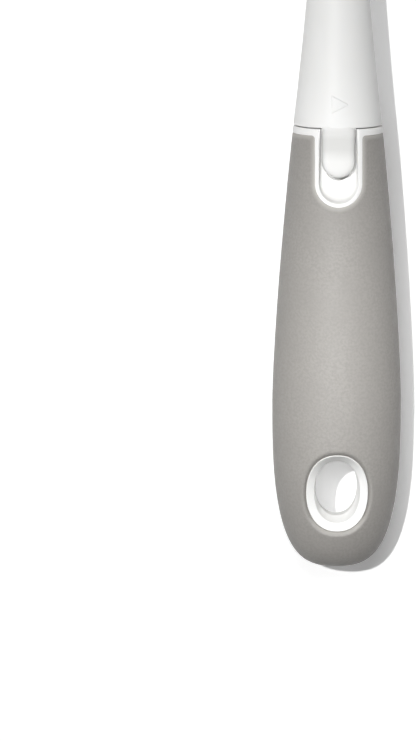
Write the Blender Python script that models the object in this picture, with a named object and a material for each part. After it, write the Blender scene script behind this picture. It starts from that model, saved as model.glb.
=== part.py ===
"""A bottle brush: a soft-gripped handle, a tapered neck with a press tab, and a twisted wire full of bristles.

The brush lies along Y with its head at +Y and its front, where the tab is, at +Z.
The origin is on the wall of the hang hole that bears on a hook.
"""

import math
import random

import bmesh
import bpy
from mathutils import Vector

# Handle
HANDLE_LENGTH = 0.1215
SEAM_RADIUS = 0.01205
BELLY_HALF_WIDTH = 0.0176
BELLY_HALF_THICKNESS = 0.0145
GRIP_THICKNESS = 0.0018
RIM_WIDTH = 0.0021
CLEARANCE = 0.0003
OVERRUN = 0.004
BELLY_SHARE = 0.622
SWELL_POWER = 1.4
END_POWER = 2.8
END_ROUND_POWER = 3.2
HANDLE_STATIONS = 12
END_STATIONS = 9
HANDLE_SIDES = 32

# Hang hole, an eyelet that funnels in from both faces to a tunnel
HOLE_FROM_END = 0.0219
TUNNEL_HALF_WIDTH = 0.0057
TUNNEL_HALF_LENGTH = 0.0077
TUNNEL_DRAFT = 0.0005
DRAFT_HEIGHT = 0.001
LIP_HEIGHT = 0.0095
BACK_LIP_HEIGHT = 0.0045
FUNNEL_WIDTH = 0.0018
RING_LAND = 0.0004
EYELET_SINK = 0.0009
GRIP_ROLL = 0.0014
SEAT_HALF_WIDTH = 0.0019
OVAL_POWER = 2.2
OVAL_SIDES = 32

# Thumb well in the front of the handle
WELL_HALF_WIDTH = 0.0064
WELL_LENGTH = 0.0213
WELL_WALL = 0.0011
WELL_FLOOR_HEIGHT = 0.0093
CATCH_SLOT_DEPTH = 0.0015
ARC_STEPS = 12

# Socket in the handle and spigot on the neck, round with a flat at the front
SPIGOT_RADIUS = 0.009
SPIGOT_FLAT_HEIGHT = 0.0067
SPIGOT_LENGTH = 0.030
SPIGOT_WALL = 0.002
SOCKET_SPARE_DEPTH = 0.0015
CORED_LENGTH = 0.045
CORED_END_SHARE = 0.72
PLUG_SIDES = 28

# Neck
NECK_LENGTH = 0.098
STEM_RADIUS = 0.005
STEM_FILLET = 0.0018
NECK_HOLLOW_LENGTH = 0.046
NECK_FLARE_POWER = 1.6
NECK_STATIONS = 12
NECK_SIDES = 32
FILLET_STEPS = 4

# Press tab
TAB_HALF_WIDTH = 0.0045
TAB_LENGTH = 0.0131
TAB_ROOT_OFFSET = 0.0016
TAB_ROOT_HEIGHT = 0.0114
TAB_KNUCKLE_RADIUS = 0.0011
TAB_TIP_HEIGHT = 0.0131
TAB_UNDERSIDE_HEIGHT = 0.0109
TAB_CROWN = 0.0009
TAB_DISH_DEPTH = 0.0005
DISH_CENTRE_SHARE = 0.34
DISH_REACH_SHARE = 0.24
TAB_STATIONS = 14
TAB_TOP_POINTS = 7
KNUCKLE_STEPS = 3
CATCH_HALF_WIDTH = 0.0018
CATCH_LENGTH = 0.002
CATCH_FROM_TIP = 0.0015
CATCH_FOOT_HEIGHT = 0.0091

# Twisted wire, one length folded into a hairpin
WIRE_RADIUS = 0.0009
WIRE_SPACING = 0.0027
TWIST_PITCH = 0.014
TWIST_EASE = 0.004
BARE_WIRE_LENGTH = 0.012
WIRE_SEAT_DEPTH = 0.026
POINTS_PER_TURN = 10
LOOP_STEPS = 8

# Bristles, trapped between the two strands of the wire
HEAD_RADIUS = 0.024
HEAD_LENGTH = 0.0945
STRAND_WIDTH = 0.00024
STRAND_ROOT_RADIUS = 0.0021
STRAND_LEAN = 0.0022
TIP_LEAN = 0.009
TIP_TAPER_SHARE = 0.7
HEAD_START_SHARE = 0.84
DOME_START_SHARE = 0.8
DOME_RADIUS_SHARE = 0.56
LENGTH_SPREAD_SHARE = 0.03
BRISTLE_SLICES = 14
ROWS_PER_SLICE = 14
BRISTLE_SEED = 11

END_Y = TUNNEL_HALF_LENGTH - HOLE_FROM_END
SEAM_Y = END_Y + HANDLE_LENGTH
BELLY_Y = SEAM_Y - BELLY_SHARE * HANDLE_LENGTH
HOLE_Y = TUNNEL_HALF_LENGTH
RIM_TOP_Y = SEAM_Y - CLEARANCE
NECK_TOP_Y = SEAM_Y + NECK_LENGTH
WIRE_RING_RADIUS = WIRE_SPACING / 2
HEAD_START_Y = NECK_TOP_Y + BARE_WIRE_LENGTH
HEAD_END_Y = HEAD_START_Y + HEAD_LENGTH
TAB_ROOT_Y = SEAM_Y - TAB_ROOT_OFFSET

WHITE = (0.86, 0.86, 0.85, 1.0)
WARM_GREY = (0.34, 0.33, 0.31, 1.0)
STEEL = (0.62, 0.62, 0.63, 1.0)
NYLON = (0.90, 0.91, 0.92, 1.0)


def clear_scene():
    for obj in list(bpy.data.objects):
        bpy.data.objects.remove(obj)


def material(name, colour, roughness, metallic=0.0):
    made = bpy.data.materials.new(name)
    made.use_nodes = True
    shader = made.node_tree.nodes["Principled BSDF"]
    shader.inputs["Base Color"].default_value = colour
    shader.inputs["Roughness"].default_value = roughness
    shader.inputs["Metallic"].default_value = metallic
    return made


def mesh_object(name, bm, finish=None):
    """Wrap a bmesh, with its faces turned outward, as an object."""
    bmesh.ops.recalc_face_normals(bm, faces=bm.faces)
    if bm.calc_volume(signed=True) < 0:
        bmesh.ops.reverse_faces(bm, faces=bm.faces)
    mesh = bpy.data.meshes.new(name)
    bm.to_mesh(mesh)
    bm.free()
    mesh.shade_smooth()
    mesh.set_sharp_from_angle(angle=math.radians(35))
    obj = bpy.data.objects.new(name, mesh)
    bpy.context.collection.objects.link(obj)
    if finish:
        mesh.materials.append(finish)
    return obj


def as_tool(obj):
    """Mark an object as a cutter or a guide, which is no piece of the brush."""
    obj.hide_render = True
    obj.display_type = "WIRE"
    return obj


def combine(target, tool, operation):
    """Cut, join or keep the target with a tool by a Boolean."""
    step = target.modifiers.new(tool.name, "BOOLEAN")
    step.operation = operation
    step.object = tool
    return target


def lofted(name, rings, finish=None):
    """Skin a closed body through rings that all have the same number of points."""
    bm = bmesh.new()
    loops = [[bm.verts.new(point) for point in ring] for ring in rings]
    for lower, upper in zip(loops, loops[1:]):
        for i in range(len(lower)):
            j = (i + 1) % len(lower)
            bm.faces.new((lower[i], lower[j], upper[j], upper[i]))
    bm.faces.new(loops[0])
    bm.faces.new(loops[-1])
    return mesh_object(name, bm, finish)


def turned(name, profile, sides, finish=None):
    """Spin a profile of (radius, y) points about the Y axis."""
    rings = [round_ring(y, radius, sides) for radius, y in profile]
    return lofted(name, rings, finish)


def signed_power(value, power):
    return math.copysign(abs(value) ** power, value)


def oval(half_width, half_height, power, sides):
    """Points of a superellipse, starting half a step off the axis so that a side faces each way."""
    points = []
    for i in range(sides):
        turn = 2 * math.pi * (i + 0.5) / sides
        across = half_width * signed_power(math.cos(turn), 2 / power)
        up = half_height * signed_power(math.sin(turn), 2 / power)
        points.append((across, up))
    return points


def round_ring(y, radius, sides, flat=None):
    """A ring about the Y axis, cut off level at the height flat."""
    ring = []
    for across, up in oval(radius, radius, 2, sides):
        height = up if flat is None else min(up, flat)
        ring.append(Vector((across, y, height)))
    return ring


def box(name, low, high):
    """A plain box between two corners."""
    corners = [(low.x, low.z), (high.x, low.z), (high.x, high.z), (low.x, high.z)]
    return lofted(name, [[Vector((x, y, z)) for x, z in corners] for y in (low.y, high.y)])


def handle_half_size(y, belly, inset):
    """Half the handle's width or thickness at y, with the surface drawn in by inset."""
    full = belly - inset
    seam = SEAM_RADIUS - inset
    if y > BELLY_Y:
        rise = (y - BELLY_Y) / (SEAM_Y - BELLY_Y)
        return full - (full - seam) * rise**SWELL_POWER
    reach = (BELLY_Y - y) / (BELLY_Y - END_Y - inset)
    return full * max(1 - reach**END_POWER, 0) ** (1 / END_ROUND_POWER)


def handle_stations(inset, top):
    """Places along the handle, close together where its end rounds over."""
    places = []
    for i in range(HANDLE_STATIONS):
        places.append(top + (BELLY_Y - top) * i / HANDLE_STATIONS)
    end_length = BELLY_Y - END_Y - inset
    for i in range(END_STATIONS):
        turn = 0.5 * math.pi * i / END_STATIONS
        places.append(BELLY_Y - end_length * math.sin(turn) ** (2 / END_POWER))
    places.append(BELLY_Y - end_length * (1 - (0.5 / END_STATIONS) ** END_POWER))
    return places


def handle_form(name, inset, top, finish=None):
    """The handle's outer form, drawn in by inset, from the height top down to its end."""
    rings = []
    for y in handle_stations(inset, top):
        half_width = handle_half_size(y, BELLY_HALF_WIDTH, inset)
        half_thickness = handle_half_size(y, BELLY_HALF_THICKNESS, inset)
        section = oval(half_width, half_thickness, 2, HANDLE_SIDES)
        rings.append([Vector((across, y, up)) for across, up in section])
    return lofted(name, rings, finish)


def well_outline(half_width, bottom_y, top_y):
    """A U open at the top: two straight sides and a half circle."""
    points = [(half_width, top_y)]
    centre_y = bottom_y + half_width
    for i in range(ARC_STEPS + 1):
        turn = -math.pi * i / ARC_STEPS
        points.append((half_width * math.cos(turn), centre_y + half_width * math.sin(turn)))
    points.append((-half_width, top_y))
    return points


def upright(name, outline, low, high):
    """An outline in X and Y, raised from one height to another."""
    return as_tool(lofted(name, [[Vector((x, y, z)) for x, y in outline] for z in (low, high)]))


def front_region(name, grow):
    """The rim and the U round the thumb well, where the white core comes to the surface."""
    reach = BELLY_HALF_WIDTH + OVERRUN
    low = Vector((-reach, SEAM_Y - RIM_WIDTH - grow, -reach))
    high = Vector((reach, SEAM_Y + OVERRUN, reach))
    rim = as_tool(box(name, low, high))
    outline = well_outline(WELL_HALF_WIDTH + grow, SEAM_Y - WELL_LENGTH - grow, SEAM_Y + OVERRUN / 2)
    return combine(rim, upright(name + "_u", outline, WELL_FLOOR_HEIGHT / 2, reach - OVERRUN / 2), "UNION")


def eyelet_ring(height, grow, seat=False):
    """The hang hole's outline at a height, let out by grow, with its hook seat kept flat."""
    section = oval(TUNNEL_HALF_WIDTH + grow, TUNNEL_HALF_LENGTH + grow, OVAL_POWER, OVAL_SIDES)
    ring = []
    for across, along in section:
        if seat and abs(across) < SEAT_HALF_WIDTH and along < 0:
            along = -TUNNEL_HALF_LENGTH - grow
        ring.append(Vector((across, HOLE_Y + along, height)))
    return ring


def hang_hole_cutter():
    """The tunnel, straight at its back half and drafted at its front half, with a funnel on each face."""
    mouth = BELLY_HALF_THICKNESS + OVERRUN
    face = handle_half_size(HOLE_Y, BELLY_HALF_THICKNESS, EYELET_SINK)
    funnel = TUNNEL_DRAFT + FUNNEL_WIDTH
    front_spread = TUNNEL_DRAFT + FUNNEL_WIDTH * (mouth - LIP_HEIGHT) / (face - LIP_HEIGHT)
    back_spread = funnel * (mouth - BACK_LIP_HEIGHT) / (face - BACK_LIP_HEIGHT)
    rings = [
        eyelet_ring(-mouth, back_spread, seat=True),
        eyelet_ring(-BACK_LIP_HEIGHT, 0, seat=True),
        eyelet_ring(DRAFT_HEIGHT, 0, seat=True),
        eyelet_ring(LIP_HEIGHT, TUNNEL_DRAFT, seat=True),
        eyelet_ring(mouth, front_spread, seat=True),
    ]
    return as_tool(lofted("hang_hole_cutter", rings))


def handle_core(white):
    """The stiff core: rim, thumb well, eyelet and the socket for the neck."""
    core = handle_form("handle_core", GRIP_THICKNESS, RIM_TOP_Y, white)
    surface = as_tool(handle_form("core_surface", 0, RIM_TOP_Y))
    combine(core, combine(surface, front_region("core_front", 0), "INTERSECT"), "UNION")

    ring_grow = TUNNEL_DRAFT + FUNNEL_WIDTH + RING_LAND
    reach = BELLY_HALF_THICKNESS
    eyelet = as_tool(lofted("eyelet_column", [eyelet_ring(z, ring_grow) for z in (-reach, reach)]))
    sunk = as_tool(handle_form("eyelet_surface", EYELET_SINK, RIM_TOP_Y))
    combine(core, combine(eyelet, sunk, "INTERSECT"), "UNION")
    combine(core, hang_hole_cutter(), "DIFFERENCE")

    recess = well_outline(WELL_HALF_WIDTH - WELL_WALL, SEAM_Y - WELL_LENGTH + WELL_WALL, SEAM_Y + OVERRUN)
    top = BELLY_HALF_THICKNESS + OVERRUN
    combine(core, upright("well_cutter", recess, WELL_FLOOR_HEIGHT, top), "DIFFERENCE")
    combine(core, catch_slot_cutter(), "DIFFERENCE")
    combine(core, socket_cutter(), "DIFFERENCE")
    return core


def catch_slot_cutter():
    """A slot in the well's floor, open at the rim, that the tab's catch runs in."""
    half_width = CATCH_HALF_WIDTH + CLEARANCE
    bottom_y = SEAM_Y - TAB_LENGTH + CATCH_FROM_TIP - CLEARANCE * 2
    low = Vector((-half_width, bottom_y, WELL_FLOOR_HEIGHT - CATCH_SLOT_DEPTH))
    high = Vector((half_width, SEAM_Y + OVERRUN, WELL_FLOOR_HEIGHT + OVERRUN / 2))
    return as_tool(box("catch_slot_cutter", low, high))


def socket_cutter():
    """The socket, and the tapered hollow that a core pin leaves below it."""
    radius = SPIGOT_RADIUS + CLEARANCE
    flat = SPIGOT_FLAT_HEIGHT + CLEARANCE
    floor_y = SEAM_Y - SPIGOT_LENGTH - SOCKET_SPARE_DEPTH
    pin_radius = radius - SPIGOT_WALL
    pin_flat = flat - SPIGOT_WALL / 2
    rings = [
        round_ring(SEAM_Y + OVERRUN, radius, PLUG_SIDES, flat),
        round_ring(floor_y, radius, PLUG_SIDES, flat),
        round_ring(floor_y, pin_radius, PLUG_SIDES, pin_flat),
        round_ring(floor_y - CORED_LENGTH, pin_radius * CORED_END_SHARE, PLUG_SIDES, pin_flat),
    ]
    return as_tool(lofted("socket_cutter", rings))


def grip(grey):
    """The soft sleeve moulded over the core, open at the rim, the thumb well and the eyelet."""
    sleeve = handle_form("grip", 0, RIM_TOP_Y, grey)
    inside = as_tool(handle_form("grip_inside", GRIP_THICKNESS - CLEARANCE, SEAM_Y + OVERRUN / 2))
    combine(sleeve, inside, "DIFFERENCE")
    combine(sleeve, front_region("grip_front", CLEARANCE), "DIFFERENCE")
    combine(sleeve, eyelet_opening_cutter(), "DIFFERENCE")
    return sleeve


def eyelet_opening_cutter():
    """The oval openings round the eyelet, with the sleeve's edge rolled down to the ring."""
    opening = TUNNEL_DRAFT + FUNNEL_WIDTH + RING_LAND + CLEARANCE
    face = handle_half_size(HOLE_Y, BELLY_HALF_THICKNESS, 0)
    side_share = (TUNNEL_HALF_WIDTH + opening) / handle_half_size(HOLE_Y, BELLY_HALF_WIDTH, 0)
    roll_start = face * math.sqrt(1 - side_share**2) - GRIP_ROLL
    top = BELLY_HALF_THICKNESS + OVERRUN
    spread = opening + GRIP_ROLL * (top - roll_start) / (face - roll_start)
    rings = [
        eyelet_ring(-top, spread),
        eyelet_ring(-roll_start, opening),
        eyelet_ring(roll_start, opening),
        eyelet_ring(top, spread),
    ]
    return as_tool(lofted("eyelet_opening_cutter", rings))


def neck_radius(y):
    """The neck's radius at y, flaring down to the seam."""
    rise = (y - SEAM_Y) / NECK_LENGTH
    return STEM_RADIUS + (SEAM_RADIUS - STEM_RADIUS) * (1 - rise) ** NECK_FLARE_POWER


def neck_profile():
    shoulder_y = NECK_TOP_Y - STEM_FILLET
    profile = []
    for i in range(NECK_STATIONS + 1):
        y = SEAM_Y + (shoulder_y - SEAM_Y) * i / NECK_STATIONS
        profile.append((neck_radius(y), y))
    shoulder = neck_radius(shoulder_y)
    for i in range(1, FILLET_STEPS + 1):
        turn = 0.5 * math.pi * i / FILLET_STEPS
        inward = STEM_FILLET * (1 - math.cos(turn))
        profile.append((shoulder - inward, shoulder_y + STEM_FILLET * math.sin(turn)))
    return profile


def neck(white):
    """The tapered neck, with its hollow spigot, the lug that carries the tab and the wire's bore."""
    body = turned("neck", neck_profile(), NECK_SIDES, white)
    spigot_ends = (SEAM_Y - SPIGOT_LENGTH, SEAM_Y + SPIGOT_WALL)
    spigot = [round_ring(y, SPIGOT_RADIUS, PLUG_SIDES, SPIGOT_FLAT_HEIGHT) for y in spigot_ends]
    combine(body, as_tool(lofted("spigot", spigot)), "UNION")
    combine(body, tab_lug(), "UNION")
    combine(body, neck_hollow_cutter(), "DIFFERENCE")
    combine(body, wire_bore_cutter(), "DIFFERENCE")
    return body


def neck_hollow_cutter():
    """The hollow up the middle of the spigot and the neck."""
    radius = SPIGOT_RADIUS - SPIGOT_WALL
    flat = SPIGOT_FLAT_HEIGHT - SPIGOT_WALL
    top_y = SEAM_Y + NECK_HOLLOW_LENGTH
    rings = [
        round_ring(SEAM_Y - SPIGOT_LENGTH - OVERRUN, radius, PLUG_SIDES, flat),
        round_ring(SEAM_Y, radius, PLUG_SIDES, flat),
        round_ring(top_y, (neck_radius(top_y) - SPIGOT_WALL) / 2, PLUG_SIDES, flat),
    ]
    return as_tool(lofted("neck_hollow_cutter", rings))


def wire_bore_cutter():
    """The blind bore that the twisted wire is seated in."""
    radius = WIRE_RING_RADIUS + WIRE_RADIUS + CLEARANCE
    floor_y = NECK_TOP_Y - WIRE_SEAT_DEPTH - CLEARANCE
    ends = (floor_y, NECK_TOP_Y + OVERRUN)
    return as_tool(lofted("wire_bore_cutter", [round_ring(y, radius, PLUG_SIDES) for y in ends]))


def tab_top(y, across_share):
    """Height of the tab's crowned upper face at y."""
    length = TAB_LENGTH - TAB_ROOT_OFFSET
    along_share = (TAB_ROOT_Y - y) / length
    root_top = TAB_ROOT_HEIGHT + TAB_KNUCKLE_RADIUS
    climb = (TAB_TIP_HEIGHT - root_top) * math.sin(0.5 * math.pi * min(along_share * 2, 1))
    dish = math.exp(-(((along_share - DISH_CENTRE_SHARE) / DISH_REACH_SHARE) ** 2))
    crown = TAB_CROWN * along_share * across_share**2
    return root_top + climb - TAB_DISH_DEPTH * dish - crown


def tab_section(y, half_width, underside, top=None):
    """One cross-section of the tab: a flat underside and an upper face that is level or crowned."""
    ring = [Vector((-half_width, y, underside)), Vector((half_width, y, underside))]
    for i in range(TAB_TOP_POINTS):
        across_share = 1 - 2 * i / (TAB_TOP_POINTS - 1)
        height = tab_top(y, across_share) if top is None else top
        ring.append(Vector((half_width * across_share, y, height)))
    return ring


def tab_rings():
    """Cross-sections from the round knuckle at the tab's root to its round tip."""
    rings = []
    for i in range(KNUCKLE_STEPS, 0, -1):
        turn = 0.5 * math.pi * i / (KNUCKLE_STEPS + 0.5)
        y = TAB_ROOT_Y + TAB_KNUCKLE_RADIUS * math.sin(turn)
        half_depth = TAB_KNUCKLE_RADIUS * math.cos(turn)
        low = TAB_ROOT_HEIGHT - half_depth
        rings.append(tab_section(y, TAB_HALF_WIDTH, low, TAB_ROOT_HEIGHT + half_depth))
    length = TAB_LENGTH - TAB_ROOT_OFFSET
    for i in range(1, TAB_STATIONS + 1):
        along = length * math.sin(0.5 * math.pi * i / (TAB_STATIONS + 0.5))
        y = TAB_ROOT_Y - along
        into_round = max(along - (length - TAB_HALF_WIDTH), 0)
        half_width = math.sqrt(TAB_HALF_WIDTH**2 - into_round**2)
        lift_share = min(along / (2 * TAB_KNUCKLE_RADIUS), 1)
        root_under = TAB_ROOT_HEIGHT - TAB_KNUCKLE_RADIUS
        underside = root_under + (TAB_UNDERSIDE_HEIGHT - root_under) * lift_share
        rings.append(tab_section(y, half_width, underside))
    return rings


def release_tab(white):
    """The tongue that the thumb presses, with its catch underneath, hinged at its root."""
    tab = lofted("release_tab", tab_rings(), white)
    tip_y = SEAM_Y - TAB_LENGTH
    low = Vector((-CATCH_HALF_WIDTH, tip_y + CATCH_FROM_TIP, CATCH_FOOT_HEIGHT))
    high = Vector((CATCH_HALF_WIDTH, tip_y + CATCH_FROM_TIP + CATCH_LENGTH, TAB_UNDERSIDE_HEIGHT + CLEARANCE))
    combine(tab, as_tool(box("catch", low, high)), "UNION")
    hinge = bpy.data.objects.new("tab_hinge", None)
    hinge.location = (0, TAB_ROOT_Y, TAB_ROOT_HEIGHT)
    bpy.context.collection.objects.link(hinge)
    tab.parent = hinge
    tab.matrix_parent_inverse = hinge.matrix_basis.inverted()
    return tab


def tab_lug():
    """The stub on the neck's skirt that the tab bends from."""
    end_y = TAB_ROOT_Y + TAB_KNUCKLE_RADIUS + CLEARANCE
    inner_y = SEAM_Y + SPIGOT_WALL
    under = TAB_ROOT_HEIGHT - TAB_KNUCKLE_RADIUS
    rings = [
        tab_section(end_y, TAB_HALF_WIDTH, under, TAB_ROOT_HEIGHT + TAB_KNUCKLE_RADIUS),
        tab_section(inner_y, TAB_HALF_WIDTH, under, (under + TAB_ROOT_HEIGHT) / 2),
    ]
    return as_tool(lofted("tab_lug", rings))


def twist_angle(y):
    """How far the wire has turned at y: steady along the head, easing to straight at both ends."""
    start = NECK_TOP_Y - WIRE_SEAT_DEPTH + 2 * WIRE_RADIUS
    run = min(max(y - start, 0), HEAD_END_Y - start)
    from_end = HEAD_END_Y - start - run
    turned_length = run - TWIST_EASE / 2
    if run < TWIST_EASE:
        turned_length = run**2 / (2 * TWIST_EASE)
    elif from_end < TWIST_EASE:
        turned_length = HEAD_END_Y - start - TWIST_EASE - from_end**2 / (2 * TWIST_EASE)
    return 2 * math.pi * turned_length / TWIST_PITCH


def about_axis(y, radius, angle):
    return Vector((radius * math.cos(angle), y, radius * math.sin(angle)))


def wire_route():
    """One strand up to the tip, the fold round it, and the other strand back down."""
    foot_y = NECK_TOP_Y - WIRE_SEAT_DEPTH
    steps = math.ceil((HEAD_END_Y - foot_y) / TWIST_PITCH * POINTS_PER_TURN)
    places = [foot_y + (HEAD_END_Y - foot_y) * i / steps for i in range(steps + 1)]
    up = [about_axis(y, WIRE_RING_RADIUS, twist_angle(y)) for y in places]
    down = [about_axis(y, -WIRE_RING_RADIUS, twist_angle(y)) for y in reversed(places)]
    fold = []
    for i in range(1, LOOP_STEPS):
        turn = math.pi * i / LOOP_STEPS
        y = HEAD_END_Y + WIRE_RING_RADIUS * math.sin(turn)
        fold.append(about_axis(y, WIRE_RING_RADIUS * math.cos(turn), twist_angle(HEAD_END_Y)))
    return up + fold + down


def least_self_gap(route):
    """The least gap between stretches of the wire that don't follow each other."""
    travelled = [0.0]
    for a, b in zip(route, route[1:]):
        travelled.append(travelled[-1] + (b - a).length)
    apart = math.pi * WIRE_RING_RADIUS
    gaps = []
    for i, a in enumerate(route):
        for j in range(i + 1, len(route)):
            if travelled[j] - travelled[i] >= apart:
                gaps.append((route[j] - a).length)
    return min(gaps) - 2 * WIRE_RADIUS


def twisted_wire(steel):
    route = wire_route()
    print("least gap of the wire to itself, mm:", round(least_self_gap(route) * 1000, 3))
    curve = bpy.data.curves.new("twisted_wire", "CURVE")
    curve.dimensions = "3D"
    curve.twist_mode = "MINIMUM"
    curve.bevel_depth = WIRE_RADIUS
    curve.bevel_resolution = 1
    curve.use_fill_caps = True
    spline = curve.splines.new("POLY")
    spline.points.add(len(route) - 1)
    for point, place in zip(spline.points, route):
        point.co = (*place, 1)
    curve.materials.append(steel)
    wire = bpy.data.objects.new("twisted_wire", curve)
    bpy.context.collection.objects.link(wire)
    return wire


def head_radius(head_share):
    """The bristles' reach from the axis: a short lead-in, a straight body and a domed tip."""
    if head_share < 1 - DOME_START_SHARE:
        lead_share = head_share / (1 - DOME_START_SHARE)
        return HEAD_RADIUS * (HEAD_START_SHARE + (1 - HEAD_START_SHARE) * math.sin(0.5 * math.pi * lead_share))
    dome = max(head_share - DOME_START_SHARE, 0) / (1 - DOME_START_SHARE)
    return HEAD_RADIUS * (1 - (1 - DOME_RADIUS_SHARE) * dome**2)


def strand_tip(y, side, row, reach_share):
    """Four corners of a strand's tip, leaning up or down the head by turns."""
    head_share = (y - HEAD_START_Y) / HEAD_LENGTH
    reach = side * head_radius(head_share) * reach_share
    dome = max(head_share - DOME_START_SHARE, 0) / (1 - DOME_START_SHARE)
    lean = STRAND_LEAN * (1 if row % 2 else -1) * (1 - dome) + TIP_LEAN * dome**2
    half = STRAND_WIDTH / 2 * TIP_TAPER_SHARE
    angle = twist_angle(y + STRAND_WIDTH / 2) + math.pi / 2
    centre = about_axis(y + STRAND_WIDTH / 2 + lean, reach, angle)
    across = about_axis(0, half, angle + math.pi / 2)
    along = Vector((0, half, 0))
    return [centre - along - across, centre - along + across, centre + along + across, centre + along - across]


def backing_corners(bm, y):
    """Four corners of the filament strip between the wires at y."""
    angle = twist_angle(y) + math.pi / 2
    across = about_axis(0, STRAND_WIDTH / 2, angle + math.pi / 2)
    edges = [about_axis(y, STRAND_ROOT_RADIUS, angle), about_axis(y, -STRAND_ROOT_RADIUS, angle)]
    return [bm.verts.new(edge + sign * across) for edge in edges for sign in (-1, 1)]


def bristle_slice(name, first_row, spread, nylon):
    """A stretch of the filament strip with its strands, as one body."""
    rows = BRISTLE_SLICES * ROWS_PER_SLICE
    spacing = (HEAD_LENGTH - STRAND_WIDTH) / (rows - 1)
    bm = bmesh.new()
    stations = []
    for row in range(first_row, first_row + ROWS_PER_SLICE):
        y = HEAD_START_Y + spacing * row
        low = backing_corners(bm, y)
        high = backing_corners(bm, y + STRAND_WIDTH)
        stations += [low, high]
        for side, first, second in ((1, 0, 1), (-1, 2, 3)):
            reach_share = 1 + LENGTH_SPREAD_SHARE * spread.uniform(-1, 1)
            tip = [bm.verts.new(corner) for corner in strand_tip(y, side, row, reach_share)]
            root = [low[first], low[second], high[second], high[first]]
            for i in range(len(root)):
                j = (i + 1) % len(root)
                bm.faces.new((root[i], root[j], tip[j], tip[i]))
            bm.faces.new(tip)
    for low, high in zip(stations, stations[1:]):
        bm.faces.new((low[0], high[0], high[2], low[2]))
        bm.faces.new((low[1], low[3], high[3], high[1]))
    for low, high in zip(stations[1::2], stations[2::2]):
        bm.faces.new((low[0], low[1], high[1], high[0]))
        bm.faces.new((low[2], low[3], high[3], high[2]))
    for end in (stations[0], stations[-1]):
        bm.faces.new((end[0], end[1], end[3], end[2]))
    return mesh_object(name, bm, nylon)


def bristles(nylon):
    spread = random.Random(BRISTLE_SEED)
    for i in range(BRISTLE_SLICES):
        bristle_slice(f"bristles_{i + 1:02d}", i * ROWS_PER_SLICE, spread, nylon)


def build():
    clear_scene()
    white = material("white_plastic", WHITE, 0.35)
    grey = material("grey_rubber", WARM_GREY, 0.75)
    handle_core(white)
    grip(grey)
    neck(white)
    release_tab(white)
    twisted_wire(material("steel_wire", STEEL, 0.3, 1.0))
    bristles(material("nylon_bristle", NYLON, 0.4))


build()
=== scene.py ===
# %% [markdown]
# # A bottle brush, seen from above as it lies on a white table
# The brush has a soft grey grip moulded over a white core, a white neck that slides into the core and is
# held by a press tab, and a twisted wire full of bristles. Its stiff parts come packed as a frame of plain
# solids. This lesson dresses that frame: it remakes each piece finely, gives it the finish of the real one,
# and lights it as for a catalogue. The brush lies along Y with its head at +Y, and its front, where the tab
# is, faces +Z. All sizes are in metres.

import math

import bmesh
import bpy
from mathutils import Matrix, Vector
from mathutils.geometry import delaunay_2d_cdt


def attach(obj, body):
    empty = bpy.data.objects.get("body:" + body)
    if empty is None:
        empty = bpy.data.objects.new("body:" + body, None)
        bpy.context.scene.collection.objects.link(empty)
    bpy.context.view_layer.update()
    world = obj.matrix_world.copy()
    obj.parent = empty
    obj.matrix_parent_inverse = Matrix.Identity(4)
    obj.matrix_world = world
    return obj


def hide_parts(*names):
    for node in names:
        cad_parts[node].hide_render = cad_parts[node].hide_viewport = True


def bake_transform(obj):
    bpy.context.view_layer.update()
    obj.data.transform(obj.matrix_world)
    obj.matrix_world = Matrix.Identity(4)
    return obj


MM = 1000

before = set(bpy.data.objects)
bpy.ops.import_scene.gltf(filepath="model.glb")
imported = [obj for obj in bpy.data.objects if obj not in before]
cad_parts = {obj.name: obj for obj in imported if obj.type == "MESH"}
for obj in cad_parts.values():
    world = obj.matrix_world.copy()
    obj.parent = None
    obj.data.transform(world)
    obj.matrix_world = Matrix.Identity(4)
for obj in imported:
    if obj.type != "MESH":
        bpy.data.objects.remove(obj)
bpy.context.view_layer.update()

# %% [markdown]
# The brush rests on two places: the belly of its handle and the underside of its bristles, which are
# fatter. So the table is a plane that touches both. It is tilted a little against the brush's own axis,
# and the brush has also rolled by 1.4 degrees about that axis, as loose things do.

# %% Where the brush touches the table
BELLY_Y = 0.0317
BELLY_HALF_THICKNESS = 0.0145
HEAD_REACH = 0.0237
HEAD_TOUCH_Y = 0.285
ROLL = math.radians(-1.4)

TILT = math.atan((HEAD_REACH - BELLY_HALF_THICKNESS) / (HEAD_TOUCH_Y - BELLY_Y))
table_turn = Matrix.Rotation(ROLL, 3, "Y") @ Matrix.Rotation(-TILT, 3, "X")
table_right = table_turn @ Vector((1, 0, 0))
table_along = table_turn @ Vector((0, 1, 0))
table_up = table_turn @ Vector((0, 0, 1))
table_point = Vector((0, BELLY_Y, 0)) - table_up * BELLY_HALF_THICKNESS
print("the table is tilted by", round(math.degrees(TILT), 2), "degrees")


def on_table(right, along, up):
    """A point named by its place on the table, counted from under the belly, and its height above it."""
    return table_point + table_right * right + table_along * along + table_up * up


# %% [markdown]
# The camera looks almost straight down from 1.27 m. The photograph is a crop from the edge of a wider
# picture, and the rim of the handle shows its front more than its end, so the lens stands above the neck
# and looks a little down the handle. A long lens then frames the crop.

# %% The camera
CAMERA_HEIGHT = 1.27
EYE_RIGHT = 0.00119
EYE_ALONG = 0.15469
AIM_RIGHT = -0.0352
AIM_ALONG = 0.00785
CAMERA_TWIST = 0.00118
LENS = 224.57
SENSOR_WIDTH = 36
NEAREST_SEEN = 0.05
FURTHEST_SEEN = 20


def add_object(name, data):
    """Put a new object into the scene."""
    made = bpy.data.objects.new(name, data)
    bpy.context.collection.objects.link(made)
    return made


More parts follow.
